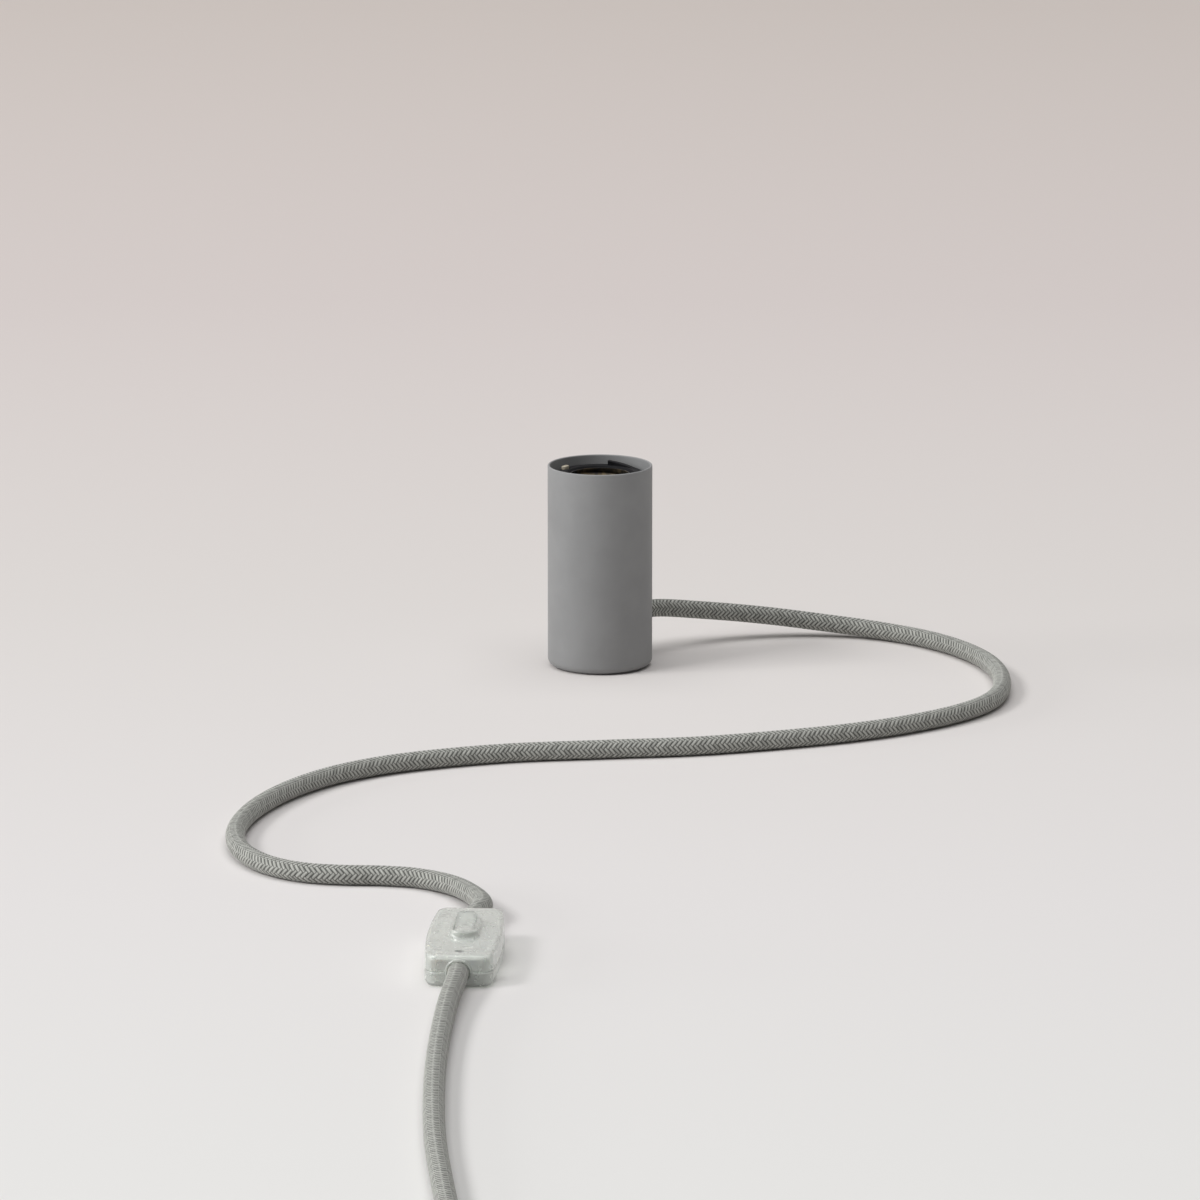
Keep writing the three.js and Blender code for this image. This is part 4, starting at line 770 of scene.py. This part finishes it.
# Painted shade: the shell is near black with a blue cast and dull brown blotches, standing for the shade and
# dark reflections deep in the cup over the brass's own oxide.
oxide_and_painted_shade_brass, tree, shader = new_finish("oxidised_brass_with_painted_shade", 0.42, 0.85)
blotches = grain(tree, 240.0, 5.0)
shades(tree, shader, blotches, [
    (0.3, (0.012, 0.014, 0.02)), (0.5, (0.05, 0.042, 0.03)), (0.72, (0.2, 0.15, 0.085))])
spread(tree, blotches, 0.5, 0.36, shader.inputs["Roughness"])
relief(tree, shader, grain(tree, 1800.0, 3.0), 0.00002, 0.5)
thread_shell = made("rolled_thread_shell", shell_verts, shell_faces, oxide_and_painted_shade_brass)
stand_for(thread_shell, "base", "brass", "thread_shell")


# The skirt: a black moulded ring that screws over the base and holds the shell. On its mouth
# stand a short sloping ramp and the cream tab of the lock, which has a pocket of its own.
SKIRT_RADIUS = 0.0195
SKIRT_MOUTH = 0.015
SKIRT_BORE = 0.0141
SKIRT_LOW, SKIRT_TOP = 0.044, 0.0865
SKIRT_SCREW, SKIRT_STEP = 0.0173, 0.0523
RAMP_START, RAMP_SWEEP = 78.0, 48.0
RAMP_RISE = 0.002
RAMP_STEPS = 24
KEY_TURN, KEY_OUT = 151.0, 0.01745
KEY_CORNER = 0.0009

skirt = turned("moulded_skirt", [
    (SKIRT_SCREW, SKIRT_LOW), *arc(SKIRT_RADIUS - 0.0006, SKIRT_LOW + 0.0006, 0.0006, -90, 0, 4),
    *arc(SKIRT_RADIUS - 0.0009, SKIRT_TOP - 0.0009, 0.0009, 0, 90, 6),
    *arc(SKIRT_MOUTH + 0.0003, SKIRT_TOP - 0.0003, 0.0003, 90, 150, 3), (SKIRT_BORE, SKIRT_TOP - 0.0014),
    (SKIRT_BORE, 0.0553), (SKIRT_BORE + 0.0001, SKIRT_STEP), (SKIRT_SCREW, SKIRT_STEP),
], phenolic, 128)


def ramp_ring(share):
    """A cross section of the ramp, from its high end at 0 to its low end at 1."""
    angle = math.radians(RAMP_START - RAMP_SWEEP * share)
    top = SKIRT_TOP + max(RAMP_RISE * (1.0 - share), 0.00003)
    outer, inner = SKIRT_RADIUS - 0.001, SKIRT_RADIUS - 0.0032
    corners = [(inner, SKIRT_TOP - 0.0008), (outer, SKIRT_TOP - 0.0008), (outer, top - 0.0002),
               (outer - 0.0002, top), (inner + 0.0002, top), (inner, top - 0.0002)]
    return [(radius * math.cos(angle), radius * math.sin(angle), height) for radius, height in corners]


def lofted(name, rings, finish, sharp=35.0):
    """A closed body through rings with the same number of corners."""
    count = len(rings[0])
    verts = [corner for ring in rings for corner in ring]
    return made(name, verts, tube_faces(len(rings), count), finish, sharp)


ramp = lofted("tool", [ramp_ring(i / RAMP_STEPS) for i in range(RAMP_STEPS + 1)], phenolic)
shaped(skirt, "UNION", [ramp])


def rounded_rectangle(width, length, radius, steps=6):
    """The outline of a rectangle with round corners."""
    x, y = width / 2 - radius, length / 2 - radius
    return [*arc(x, y, radius, 0, 90, steps), *arc(-x, y, radius, 90, 180, steps),
            *arc(-x, -y, radius, 180, 270, steps), *arc(x, -y, radius, 270, 360, steps)]


def slab(name, width, length, radius, low, high, edge, finish, steps=6):
    """A block with round corners and softly rounded upper and lower edges."""
    angles = (0.0, 0.5, 1.0, math.pi / 2)
    steps_in = [(edge - edge * math.sin(a), low + edge - edge * math.cos(a)) for a in angles]
    steps_in += [(edge - edge * math.cos(a), high - edge + edge * math.sin(a)) for a in angles]
    rings = []
    for inset, height in steps_in:
        corner = max(radius - inset, 0.00005)
        outline = rounded_rectangle(width - 2 * inset, length - 2 * inset, corner, steps)
        rings.append([(x, y, height) for x, y in outline])
    return lofted(name, rings, finish)


key_place = Matrix.Rotation(math.radians(KEY_TURN), 4, "Z") @ Matrix.Translation((KEY_OUT, 0.0, 0.0))
key_room = slab("tool", 0.0031, 0.0048, KEY_CORNER, 0.0849, 0.088, 0.0002, phenolic)
key_room.data.transform(key_place)
shaped(skirt, "DIFFERENCE", [key_room])
stand_for(skirt, "base", "black_phenolic", "holder_skirt")

cream, tree, shader = new_finish("cream_plastic", 0.45)
shades(tree, shader, grain(tree, 400.0, 3.0), [(0.3, (0.36, 0.32, 0.24)), (0.7, (0.45, 0.41, 0.32))])
relief(tree, shader, grain(tree, 3000.0), 0.00001, 0.4)
locking_key = slab("cream_locking_key", 0.0023, 0.0042, KEY_CORNER, 0.0852, 0.0878, 0.0004, cream)
locking_key.data.transform(key_place)
stand_for(locking_key, "base", "cream_plastic", "locking_key")


# The inline switch's housing: two thin clear shells, lightly frosted with a grey green tint,
# that meet on the cord's middle line. A raised frame round the rocker and a thin lip round
# each cord entry are moulded in one with the upper shell.
SWITCH_END, SWITCH_MIDDLE = 0.013, 0.0145
SWITCH_HEIGHT = 0.0125
SWITCH_CORNER = 0.005
SWITCH_WALL = 0.0014
SPLIT = 0.00015
ROCKER_OFFSET = 0.0035
PIVOT = 0.0096
FRAME_TOP = 0.015
FRAME_WIDTH, FRAME_LENGTH = 0.011, 0.029
FRAME_CORNER = 0.0046
FRAME_WALL = 0.0015
SCREW_X, SCREW_Y = 0.0086, 0.0245
CLAMP_Y = 0.02885
BOSS, SCREW_WAY, SCREW_HEAD, CLAMP_WAY = 0.003, 0.0015, 0.0025, 0.0018
CORD_WAY, SHEATH_WAY, PIN_WAY = 0.0042, 0.0034, 0.0011
LOWER_EDGE = 0.0026

switch_place = Matrix.Translation((SWITCH_X, SWITCH_Y, 0.0)) @ Matrix.Rotation(SWITCH_TURN, 4, "Z")
to_frame = Matrix.Translation((0.0, ROCKER_OFFSET, 0.0))
to_pivot = Matrix.Translation((0.0, ROCKER_OFFSET, PIVOT))

clear, tree, shader = new_finish("frosted_clear_plastic", 0.2)
haze = grain(tree, 300.0, 2.0)
shades(tree, shader, grain(tree, 120.0, 3.0), [(0.3, (0.7, 0.725, 0.695)), (0.7, (0.74, 0.76, 0.73))])
spread(tree, haze, 0.2, 0.32, shader.inputs["Roughness"])
relief(tree, shader, haze, 0.00001, 0.05)
shader.inputs["Transmission Weight"].default_value = 0.6
shader.inputs["IOR"].default_value = 1.46
shader.inputs["Coat Weight"].default_value = 0.6
shader.inputs["Coat Roughness"].default_value = 0.06
lets_light_in = tree.nodes.new("ShaderNodeBsdfTransparent")
lets_light_in.inputs["Color"].default_value = (0.69, 0.7, 0.69, 1.0)
lamp_rays = tree.nodes.new("ShaderNodeLightPath")
clear_mix = tree.nodes.new("ShaderNodeMixShader")
tree.links.new(lamp_rays.outputs["Is Shadow Ray"], clear_mix.inputs[0])
tree.links.new(shader.outputs[0], clear_mix.inputs[1])
tree.links.new(lets_light_in.outputs[0], clear_mix.inputs[2])
tree.links.new(clear_mix.outputs[0], tree.nodes["Material Output"].inputs["Surface"])


def barrel(inset, height, steps=8, side_points=15):
    """The housing's outline at a height: round corners and sides that swell toward the middle."""
    half = SWITCH_LENGTH / 2 - inset
    end, middle, corner = SWITCH_END - inset, SWITCH_MIDDLE - inset, SWITCH_CORNER - inset
    straight = half - corner

    def side(sign):
        shares = [(-1.0 + 2.0 * (i + 0.5) / side_points) * sign for i in range(side_points)]
        return [(sign * (middle - (middle - end) * share * share), straight * share) for share in shares]

    outline = [*arc(-(end - corner), -straight, corner, 180, 270, steps),
               *arc(end - corner, -straight, corner, 270, 360, steps), *side(1),
               *arc(end - corner, straight, corner, 0, 90, steps),
               *arc(-(end - corner), straight, corner, 90, 180, steps), *side(-1)]
    return [(x, y, height) for x, y in outline]


def round_edge(inset, low, high, radius, steps=6):
    """Rings that lead from a side to a face, or back, round an edge."""
    return [(inset + radius - radius * math.cos(math.pi / 2 * i / steps),
             low + (high - low) * math.sin(math.pi / 2 * i / steps)) for i in range(steps + 1)]


upper_shell = lofted("clear_upper_shell", [barrel(*ring) for ring in (
    (0.0004, SWITCH_PARTING + SPLIT), (0.0, SWITCH_PARTING + SPLIT + 0.0005),
    *round_edge(0.0002, 0.0112, SWITCH_HEIGHT, 0.0013))], clear)
upper_room = lofted("tool", [barrel(*ring) for ring in (
    (SWITCH_WALL, 0.004), *round_edge(SWITCH_WALL, 0.0103, SWITCH_HEIGHT - SWITCH_WALL, 0.0008, 3))], clear)
shaped(upper_shell, "DIFFERENCE", [upper_room])

shell_frame = slab("tool", FRAME_WIDTH, FRAME_LENGTH, FRAME_CORNER, 0.008, FRAME_TOP, 0.0006, clear, 10)
foot_rings = []
for spread_out, height in ((0.0, 0.0119), (0.0013, 0.0119), (0.0013, 0.0125), (0.0008, 0.01258),
                           (0.0004, 0.01285), (0.00012, 0.0133), (0.0, 0.0139)):
    foot_rings.append([(x, y, height) for x, y in rounded_rectangle(
        FRAME_WIDTH + 2 * spread_out, FRAME_LENGTH + 2 * spread_out, FRAME_CORNER + spread_out, 10)])
shell_foot = lofted("tool", foot_rings, clear)
for tool in (shell_frame, shell_foot):
    tool.data.transform(to_frame)


def entry_lip(side):
    """The thin raised ring round a cord entry."""
    face = SWITCH_LENGTH / 2
    place = Matrix.Translation((0.0, side * (face - 0.001), SWITCH_PARTING)) @ Matrix.Rotation(
        -side * math.pi / 2, 4, "X")
    return turned("tool", [
        (0.0041, 0.0), (0.0052, 0.0), (0.0052, 0.001), *arc(0.00475, 0.0012, 0.00045, 0, 180, 5),
        (0.0041, 0.001)], clear, 48, place)


def at_screw(side, radius, low, high, sides=32):
    """A bar on the line of a housing screw: they sit at opposite corners."""
    x, y = side * SCREW_X, -side * SCREW_Y
    return rod(radius, (x, y, low), (x, y, high), sides)


bosses = [at_screw(side, BOSS, SWITCH_PARTING + SPLIT, 0.0115) for side in (-1, 1)]
shaped(upper_shell, "UNION", [shell_foot, shell_frame, entry_lip(-1), entry_lip(1), *bosses])

window = slab("tool", FRAME_WIDTH - 2 * FRAME_WALL, FRAME_LENGTH - 2 * FRAME_WALL, FRAME_CORNER - FRAME_WALL,
              0.007, 0.0165, 0.0002, clear, 8)
window.data.transform(to_frame)


def half_room(low, high):
    """A block that takes away all that lies between two heights."""
    corners = [(x * 0.03, y * 0.06, z) for z in (low, high) for x, y in ((-1, -1), (1, -1), (1, 1), (-1, 1))]
    return made("tool", corners, tube_faces(2, 4), clear)


def switch_holes():
    """The ways for the cord through both ends, on the parting line."""
    return [rod(CORD_WAY, (0.0, side * 0.0315, SWITCH_PARTING), (0.0, side * 0.05, SWITCH_PARTING))
            for side in (-1, 1)]


upper_holes = [window, half_room(-0.01, SWITCH_PARTING + SPLIT), *switch_holes(),
               rod(PIN_WAY, (-0.02, ROCKER_OFFSET, PIVOT), (0.02, ROCKER_OFFSET, PIVOT), 24)]
for side in (-1, 1):
    upper_holes.append(rod(CLAMP_WAY, (0.0, side * CLAMP_Y, 0.0101), (0.0, side * CLAMP_Y, 0.014), 32))
    upper_holes.append(at_screw(side, SCREW_WAY, 0.004, 0.0103, 24))
shaped(upper_shell, "DIFFERENCE", upper_holes, 30.0)
upper_shell.data.transform(switch_place)
stand_for(upper_shell, "base", "clear_plastic", "switch_top_shell")

lower_shell = lofted("clear_lower_shell", [barrel(*ring) for ring in (
    *[(LOWER_EDGE - LOWER_EDGE * math.sin(a), LOWER_EDGE - LOWER_EDGE * math.cos(a))
      for a in (0.0, 0.26, 0.52, 0.79, 1.05, 1.31, math.pi / 2)],
    (0.0, SWITCH_PARTING - SPLIT - 0.0005), (0.0004, SWITCH_PARTING - SPLIT))], clear)
lower_room = lofted("tool", [barrel(*ring) for ring in (
    (0.0027, SWITCH_WALL), (0.0019, SWITCH_WALL + 0.0002), (SWITCH_WALL, SWITCH_WALL + 0.001),
    (SWITCH_WALL, 0.009))], clear)
shaped(lower_shell, "DIFFERENCE", [lower_room])
posts = [entry_lip(-1), entry_lip(1)]
for side in (-1, 1):
    posts.append(at_screw(side, BOSS, 0.001, SWITCH_PARTING - SPLIT))
    cradle = slab("tool", 0.0096, 0.006, 0.0004, 0.001, 0.0052, 0.0002, clear, 2)
    cradle.data.transform(Matrix.Translation((0.0, side * CLAMP_Y, 0.0)))
    posts.append(cradle)
shaped(lower_shell, "UNION", posts)
lower_holes = [half_room(SWITCH_PARTING - SPLIT, 0.02), *switch_holes()]
for side in (-1, 1):
    lower_holes.append(at_screw(side, SCREW_WAY, -0.001, 0.01, 24))
    lower_holes.append(at_screw(side, SCREW_HEAD, -0.001, 0.002))
    lower_holes.append(rod(SHEATH_WAY, (0.0, side * 0.02, SWITCH_PARTING),
                           (0.0, side * 0.0335, SWITCH_PARTING), 40))
shaped(lower_shell, "DIFFERENCE", lower_holes, 30.0)
lower_shell.data.transform(switch_place)
stand_for(lower_shell, "base", "clear_plastic", "switch_bottom_shell")


# The rocker: a hollow clear moulding with a gently dished top, on a steel pin. Its nose works
# the brass lever below.
ROCKER_REACH = 0.0126
ROCKER_ABOVE, ROCKER_BELOW = 0.0063, 0.0022
ROCKER_HALF = 0.0037
ROCKER_CORNER = 0.003
ROCKER_WALL = 0.0012
ROCKER_DISH = 0.001
ROCKER_EASE = 0.0005
NOSE, HUB = 0.0012, 0.0019
PIN, PIN_EASE = 0.0008, 0.0002
ROCKER_TILT = math.radians(6.0)


def rocker_outline(shrink):
    """The rocker's side view about its pin."""
    reach = ROCKER_REACH - shrink
    above, below = ROCKER_ABOVE - shrink, ROCKER_BELOW
    high = math.degrees(math.asin(above / reach))
    low = math.degrees(math.asin(below / reach))
    half = math.sqrt(reach * reach - above * above)
    top = [(half * (1 - i / 12), above - ROCKER_DISH * (1 - (1 - i / 12) ** 2)) for i in range(1, 24)]
    return [*arc(0.0, 0.0, reach, -low, high, 8), *top, *arc(0.0, 0.0, reach, 180 - high, 180 + low, 8)]


def side_slab(name, outline, half, finish):
    """A side view in Y and Z given its width along X."""
    rings = [[(x, y, z) for y, z in outline] for x in (-half, half)]
    return lofted(name, rings, finish, 30.0)


def soften(piece, width, segments, over):
    """Rounds the crisp edges of a piece."""
    work = bmesh.new()
    work.from_mesh(piece.data)
    crisp = [edge for edge in work.edges
             if len(edge.link_faces) == 2 and edge.calc_face_angle(0.0) > math.radians(over)]
    bmesh.ops.bevel(work, geom=crisp, offset=width, segments=segments, profile=0.5, affect="EDGES",
                    clamp_overlap=True)
    work.to_mesh(piece.data)
    work.free()
    return settle(piece, 30.0)


rocker = side_slab("clear_rocker", rocker_outline(0.0), ROCKER_HALF, clear)
plan_room = lofted("tool", [
    [(x, y, height) for x, y in rounded_rectangle(2 * ROCKER_HALF, 2 * long, ROCKER_CORNER, 8)]
    for long, height in ((ROCKER_REACH, -0.006), (ROCKER_REACH, 0.0012), (0.0117, 0.0045), (0.0109, 0.0066),
                         (0.0109, 0.009))], clear)
shaped(rocker, "INTERSECT", [plan_room], 30.0)
soften(rocker, ROCKER_EASE, 3, 50.0)
hollow_outline = [(y, z - 0.0001) for y, z in rocker_outline(ROCKER_WALL)]
hollow = side_slab("tool", hollow_outline, ROCKER_HALF - 0.0011, clear)
shaped(rocker, "DIFFERENCE", [hollow], 30.0)
nose = rod(NOSE, (0.0, 0.0, -0.0043), (0.0, 0.0, 0.0046), 24)
hub = rod(HUB, (-ROCKER_HALF + 0.0003, 0.0, 0.0), (ROCKER_HALF - 0.0003, 0.0, 0.0), 32)
shaped(rocker, "UNION", [nose, hub], 30.0)
shaped(rocker, "DIFFERENCE", [rod(PIN_WAY, (-0.01, 0.0, 0.0), (0.01, 0.0, 0.0), 24)], 30.0)
rocker.data.transform(switch_place @ to_pivot @ Matrix.Rotation(ROCKER_TILT, 4, "X"))
stand_for(rocker, "rocker", "clear_plastic", "switch_rocker")

pin_half = FRAME_WIDTH / 2 - 0.0002
rocker_pin = turned("steel_rocker_pin", [
    (0.0, -pin_half), (PIN - PIN_EASE, -pin_half), (PIN, -pin_half + PIN_EASE), (PIN, pin_half - PIN_EASE),
    (PIN - PIN_EASE, pin_half), (0.0, pin_half)], zinc, 32,
    switch_place @ to_pivot @ Matrix.Rotation(math.pi / 2, 4, "Y"))
stand_for(rocker_pin, "base", "plain_steel", "rocker_pin")


# Inside the switch: the brass lever and terminals, plated screws and clamp channels, and the
# ends of the cord, stripped to the black sheath and then to the brown and blue cores.
eased("contact_lever", brass, "brass", 0.0002, "lever")
for node in ("switch_terminal_front", "switch_terminal_rear"):
    eased(node, brass, "brass", 0.00025)
switch_steel = [eased(f"{kind}_{end}", zinc, "plain_steel", width) for kind, width in (
    ("switch_terminal_screw", SCREW_EASE), ("cord_clamp", 0.00015), ("clamp_screw", SCREW_EASE),
    ("shell_screw", SCREW_EASE)) for end in ("front", "rear")]

BRAID_IN = 0.004
SHEATH_IN = 0.0125
SHEATH_RADIUS = 0.0031
cord_ends = []
for side, end in ((-1, "front"), (1, "rear")):
    face = side * SWITCH_LENGTH / 2
    way = smooth_way([switch_place @ Vector((0.0, face - side * reach, SWITCH_PARTING))
                      for reach in (0.0, BRAID_IN / 2, BRAID_IN)], BRAID_PITCH / 4)
    stripped = braided(f"cord_end_{end}_braid", way, yarn)
    stand_for(stripped, "base", "textile", f"cord_end_{end}")
    to_sheath = Matrix.Translation((0.0, face - side * (BRAID_IN + 0.0001), SWITCH_PARTING))
    sheath_place = switch_place @ to_sheath @ Matrix.Rotation(side * math.pi / 2, 4, "X")
    long = SHEATH_IN - BRAID_IN
    sheath = turned(f"cord_end_{end}_sheath", [
        (0.0, 0.0), (SHEATH_RADIUS, 0.0), (SHEATH_RADIUS, long - 0.0003), (SHEATH_RADIUS - 0.0003, long),
        (0.0, long)], black_nylon, 40, sheath_place)
    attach(sheath, "base")
    cord_ends += [stripped, sheath]

for side, end in ((-1, "front"), (1, "rear")):
    core(f"line_core_{end}_in_the_switch", f"switch_line_core_{end}", [
        (-1.4, side * 23.15, 6.2), (-1.4, side * 21.65, 6.2), (-5.2, side * 19.1, 5.3),
        (-9.6, side * 18.2, 4.7), (-9.6, side * 16.6, 4.7)], brown_core, "line_insulation", switch_place)
neutral_half = [(1.4, 23.15, 6.2), (1.4, 21.55, 6.2), (4.0, 18.55, 5.2), (7.4, 12.0, 3.3)]
core("neutral_core_in_the_switch", "switch_neutral_core",
     [*neutral_half, (8.2, 0.0, 2.9), *[(x, -y, z) for x, y, z in reversed(neutral_half)]], blue_core,
     "neutral_insulation", switch_place)


# The coil's tie: a black hook and loop band that goes once round the turns of cord, its end
# pressed down over its start.
TIE_WIDTH = 0.012
TIE_THICK = 0.0009
TIE_GAP = 0.00012
TIE_RIM = 0.0003
TIE_REACH = CORD_RADIUS + TIE_GAP
LAP_HALF, LAP_THICK = 0.0055, 1.6
LAP_PART = slice(19, 30)

tie_middles = [(COIL_INNER, CORD_REST + COIL_LIFT), (COIL_OUTER, CORD_REST + COIL_LIFT),
               (COIL_MIDDLE, 0.01075 + COIL_LIFT)]


def tie_outline(reach):
    """The tight line round the three turns, at a reach from their middles."""
    line = []
    for (x, y), start, end in zip(tie_middles, (-210.0, -90.0, 30.0), (-90.0, 30.0, 150.0)):
        line += arc(x, y, reach, start, end, 12)
    return line


tie_finish, tree, shader = new_finish("hook_and_loop", 0.85)
loops = grain(tree, 3600.0, 3.0)
shades(tree, shader, loops, [(0.3, (0.008, 0.008, 0.009)), (0.7, (0.045, 0.045, 0.048))])
relief(tree, shader, loops, 0.00025)
shader.inputs["Sheen Weight"].default_value = 0.25
tie_inner = tie_outline(TIE_REACH)
tie_rows = []
for y, low_rim in ((-TIE_WIDTH / 2, TIE_RIM), (-TIE_WIDTH / 2 + TIE_RIM, 0.0), (TIE_WIDTH / 2 - TIE_RIM, 0.0),
                   (TIE_WIDTH / 2, TIE_RIM)):
    tie_rows.append([(x, y, z) for x, z in tie_outline(TIE_REACH + TIE_THICK - low_rim)])
tie_rows += [[(x, y, z) for x, z in tie_inner] for y in (TIE_WIDTH / 2, -TIE_WIDTH / 2)]
tie_count = len(tie_inner)
tie_faces = []
for i in range(len(tie_rows)):
    low, high = i * tie_count, (i + 1) % len(tie_rows) * tie_count
    for k in range(tie_count):
        n = (k + 1) % tie_count
        tie_faces.append((low + k, low + n, high + n, high + k))
coil_tie = made("hook_and_loop_tie", [corner for row in tie_rows for corner in row], tie_faces, tie_finish)
lap_line = [*tie_outline(TIE_REACH + TIE_THICK - 0.0001)[LAP_PART],
            *reversed(tie_outline(TIE_REACH + LAP_THICK * TIE_THICK)[LAP_PART])]
lap = lofted("tool", [[(x, y, z) for x, z in lap_line] for y in (-LAP_HALF, LAP_HALF)], tie_finish)
shaped(coil_tie, "UNION", [lap])
tie_side = Matrix.Rotation(math.radians(TIE_TURN), 4, "Z")
coil_tie.data.transform(Matrix.Translation((COIL_X, COIL_Y, 0.0)) @ tie_side)
stand_for(coil_tie, "base", "tie_fabric", "coil_tie")


# The plug: a flat two-pin body moulded in one, with finger grooves on both faces, a ribbed
# strain relief on the cord, and two nickel plated pins with insulating sleeves.
PLUG_START, PLUG_NOSE = 0.0283, 0.0643
PLUG_HALF, PLUG_TAIL = 0.01765, 0.0075
PLUG_THICK = 0.0137
PIN_APART = 0.0186
PIN_RADIUS, PIN_ROUND = 0.002, 0.0013
PIN_FOOT, PIN_BARE, PIN_TIP = PLUG_NOSE - 0.0074, PLUG_NOSE + 0.01, PLUG_NOSE + 0.019
SLEEVE_BORE = 0.0016
GROOVES, GROOVE_STEP, GROOVE_RADIUS, GROOVE_HALF = 5, 0.0031, 0.0009, 0.0085
RELIEF_RIBS = 5
RELIEF_LONG = 0.028

plug_place = Matrix.Translation((PLUG_X, PLUG_Y, PLUG_HEIGHT))
shoulder = PLUG_START + 0.0162
plug_half = [(PLUG_START, PLUG_TAIL), (PLUG_START + 0.004, PLUG_TAIL + 0.0008),
             (PLUG_START + 0.009, PLUG_TAIL + 0.0044), (shoulder - 0.0025, PLUG_HALF - 0.0016),
             (shoulder + 0.002, PLUG_HALF - 0.0002), (shoulder + 0.006, PLUG_HALF),
             *reversed(arc(PLUG_NOSE - 0.003, PLUG_HALF - 0.003, 0.003, 0, 90, 6))]
plug_line = [*[(x, -y) for x, y in plug_half], *reversed(plug_half)]
plug_body = lofted("moulded_plug_body", [
    [(x, y, z) for x, y in plug_line] for z in (-PLUG_THICK / 2, PLUG_THICK / 2)], black_nylon)
soften(plug_body, 0.0018, 5, 60.0)
grooves = []
for face in (-1, 1):
    for i in range(GROOVES):
        x = shoulder - 0.001 + GROOVE_STEP * i
        z = face * (PLUG_THICK / 2 + 0.0002)
        grooves.append(rod(GROOVE_RADIUS, (x, -GROOVE_HALF, z), (x, GROOVE_HALF, z), 20))
for side in (-1, 1):
    grooves.append(rod(PIN_RADIUS + 0.0002, (PLUG_NOSE - 0.008, side * PIN_APART / 2, 0.0),
                       (PLUG_NOSE + 0.002, side * PIN_APART / 2, 0.0), 32))
shaped(plug_body, "DIFFERENCE", grooves)
plug_body.data.transform(plug_place)
stand_for(plug_body, "base", "black_plastic", "plug_body")

nickel, tree, shader = new_finish("nickel_plate", 0.2, 1.0)
polish = grain(tree, 700.0, 3.0, (6.0, 1.0, 1.0))
shades(tree, shader, polish, [(0.3, (0.5, 0.48, 0.44)), (0.7, (0.66, 0.64, 0.6))])
spread(tree, polish, 0.14, 0.28, shader.inputs["Roughness"])
relief(tree, shader, polish, 0.000005, 0.3)
plug_pieces = [plug_body, coil_tie]
along_x = Matrix.Rotation(math.pi / 2, 4, "Y")
for side, end in ((-1, "front"), (1, "rear")):
    place = plug_place @ Matrix.Translation((0.0, side * PIN_APART / 2, 0.0)) @ along_x
    pin = turned(f"nickel_pin_{end}", [
        (0.0, PIN_FOOT), (0.0013, PIN_FOOT), (0.0013, PIN_BARE), (PIN_RADIUS, PIN_BARE + 0.0002),
        *arc(PIN_RADIUS - PIN_ROUND, PIN_TIP - PIN_ROUND, PIN_ROUND, 0, 60, 6),
        (0.0, PIN_TIP)], nickel, 40, place)
    stand_for(pin, "base", "nickel", f"plug_pin_{end}")
    sleeve = turned(f"pin_sleeve_tube_{end}", [
        (SLEEVE_BORE, PLUG_NOSE - 0.003), (PIN_RADIUS, PLUG_NOSE - 0.003), (PIN_RADIUS, PIN_BARE - 0.0004),
        (PIN_RADIUS - 0.0001, PIN_BARE - 0.0003), (SLEEVE_BORE, PIN_BARE - 0.0003)], black_nylon, 40, place)
    stand_for(sleeve, "base", "black_plastic", f"pin_sleeve_{end}")
    plug_pieces += [pin, sleeve]

relief_line = [(0.0, 0.0)]
for i in range(RELIEF_RIBS):
    low = RELIEF_LONG * i / RELIEF_RIBS
    radius = 0.0047 + 0.0013 * i / (RELIEF_RIBS - 1)
    relief_line += [(radius - 0.0003, low), (radius, low + 0.0003), (radius + 0.0001, low + 0.0026),
                    (radius - 0.0002, low + 0.003), (radius - 0.0008, low + 0.0032),
                    (radius - 0.0007, low + 0.0054)]
relief_line.append((0.0, RELIEF_LONG))
strain_relief = turned("ribbed_strain_relief", relief_line, black_nylon, 48, plug_place @ along_x)
stand_for(strain_relief, "base", "black_plastic", "plug_strain_relief")
plug_pieces.append(strain_relief)
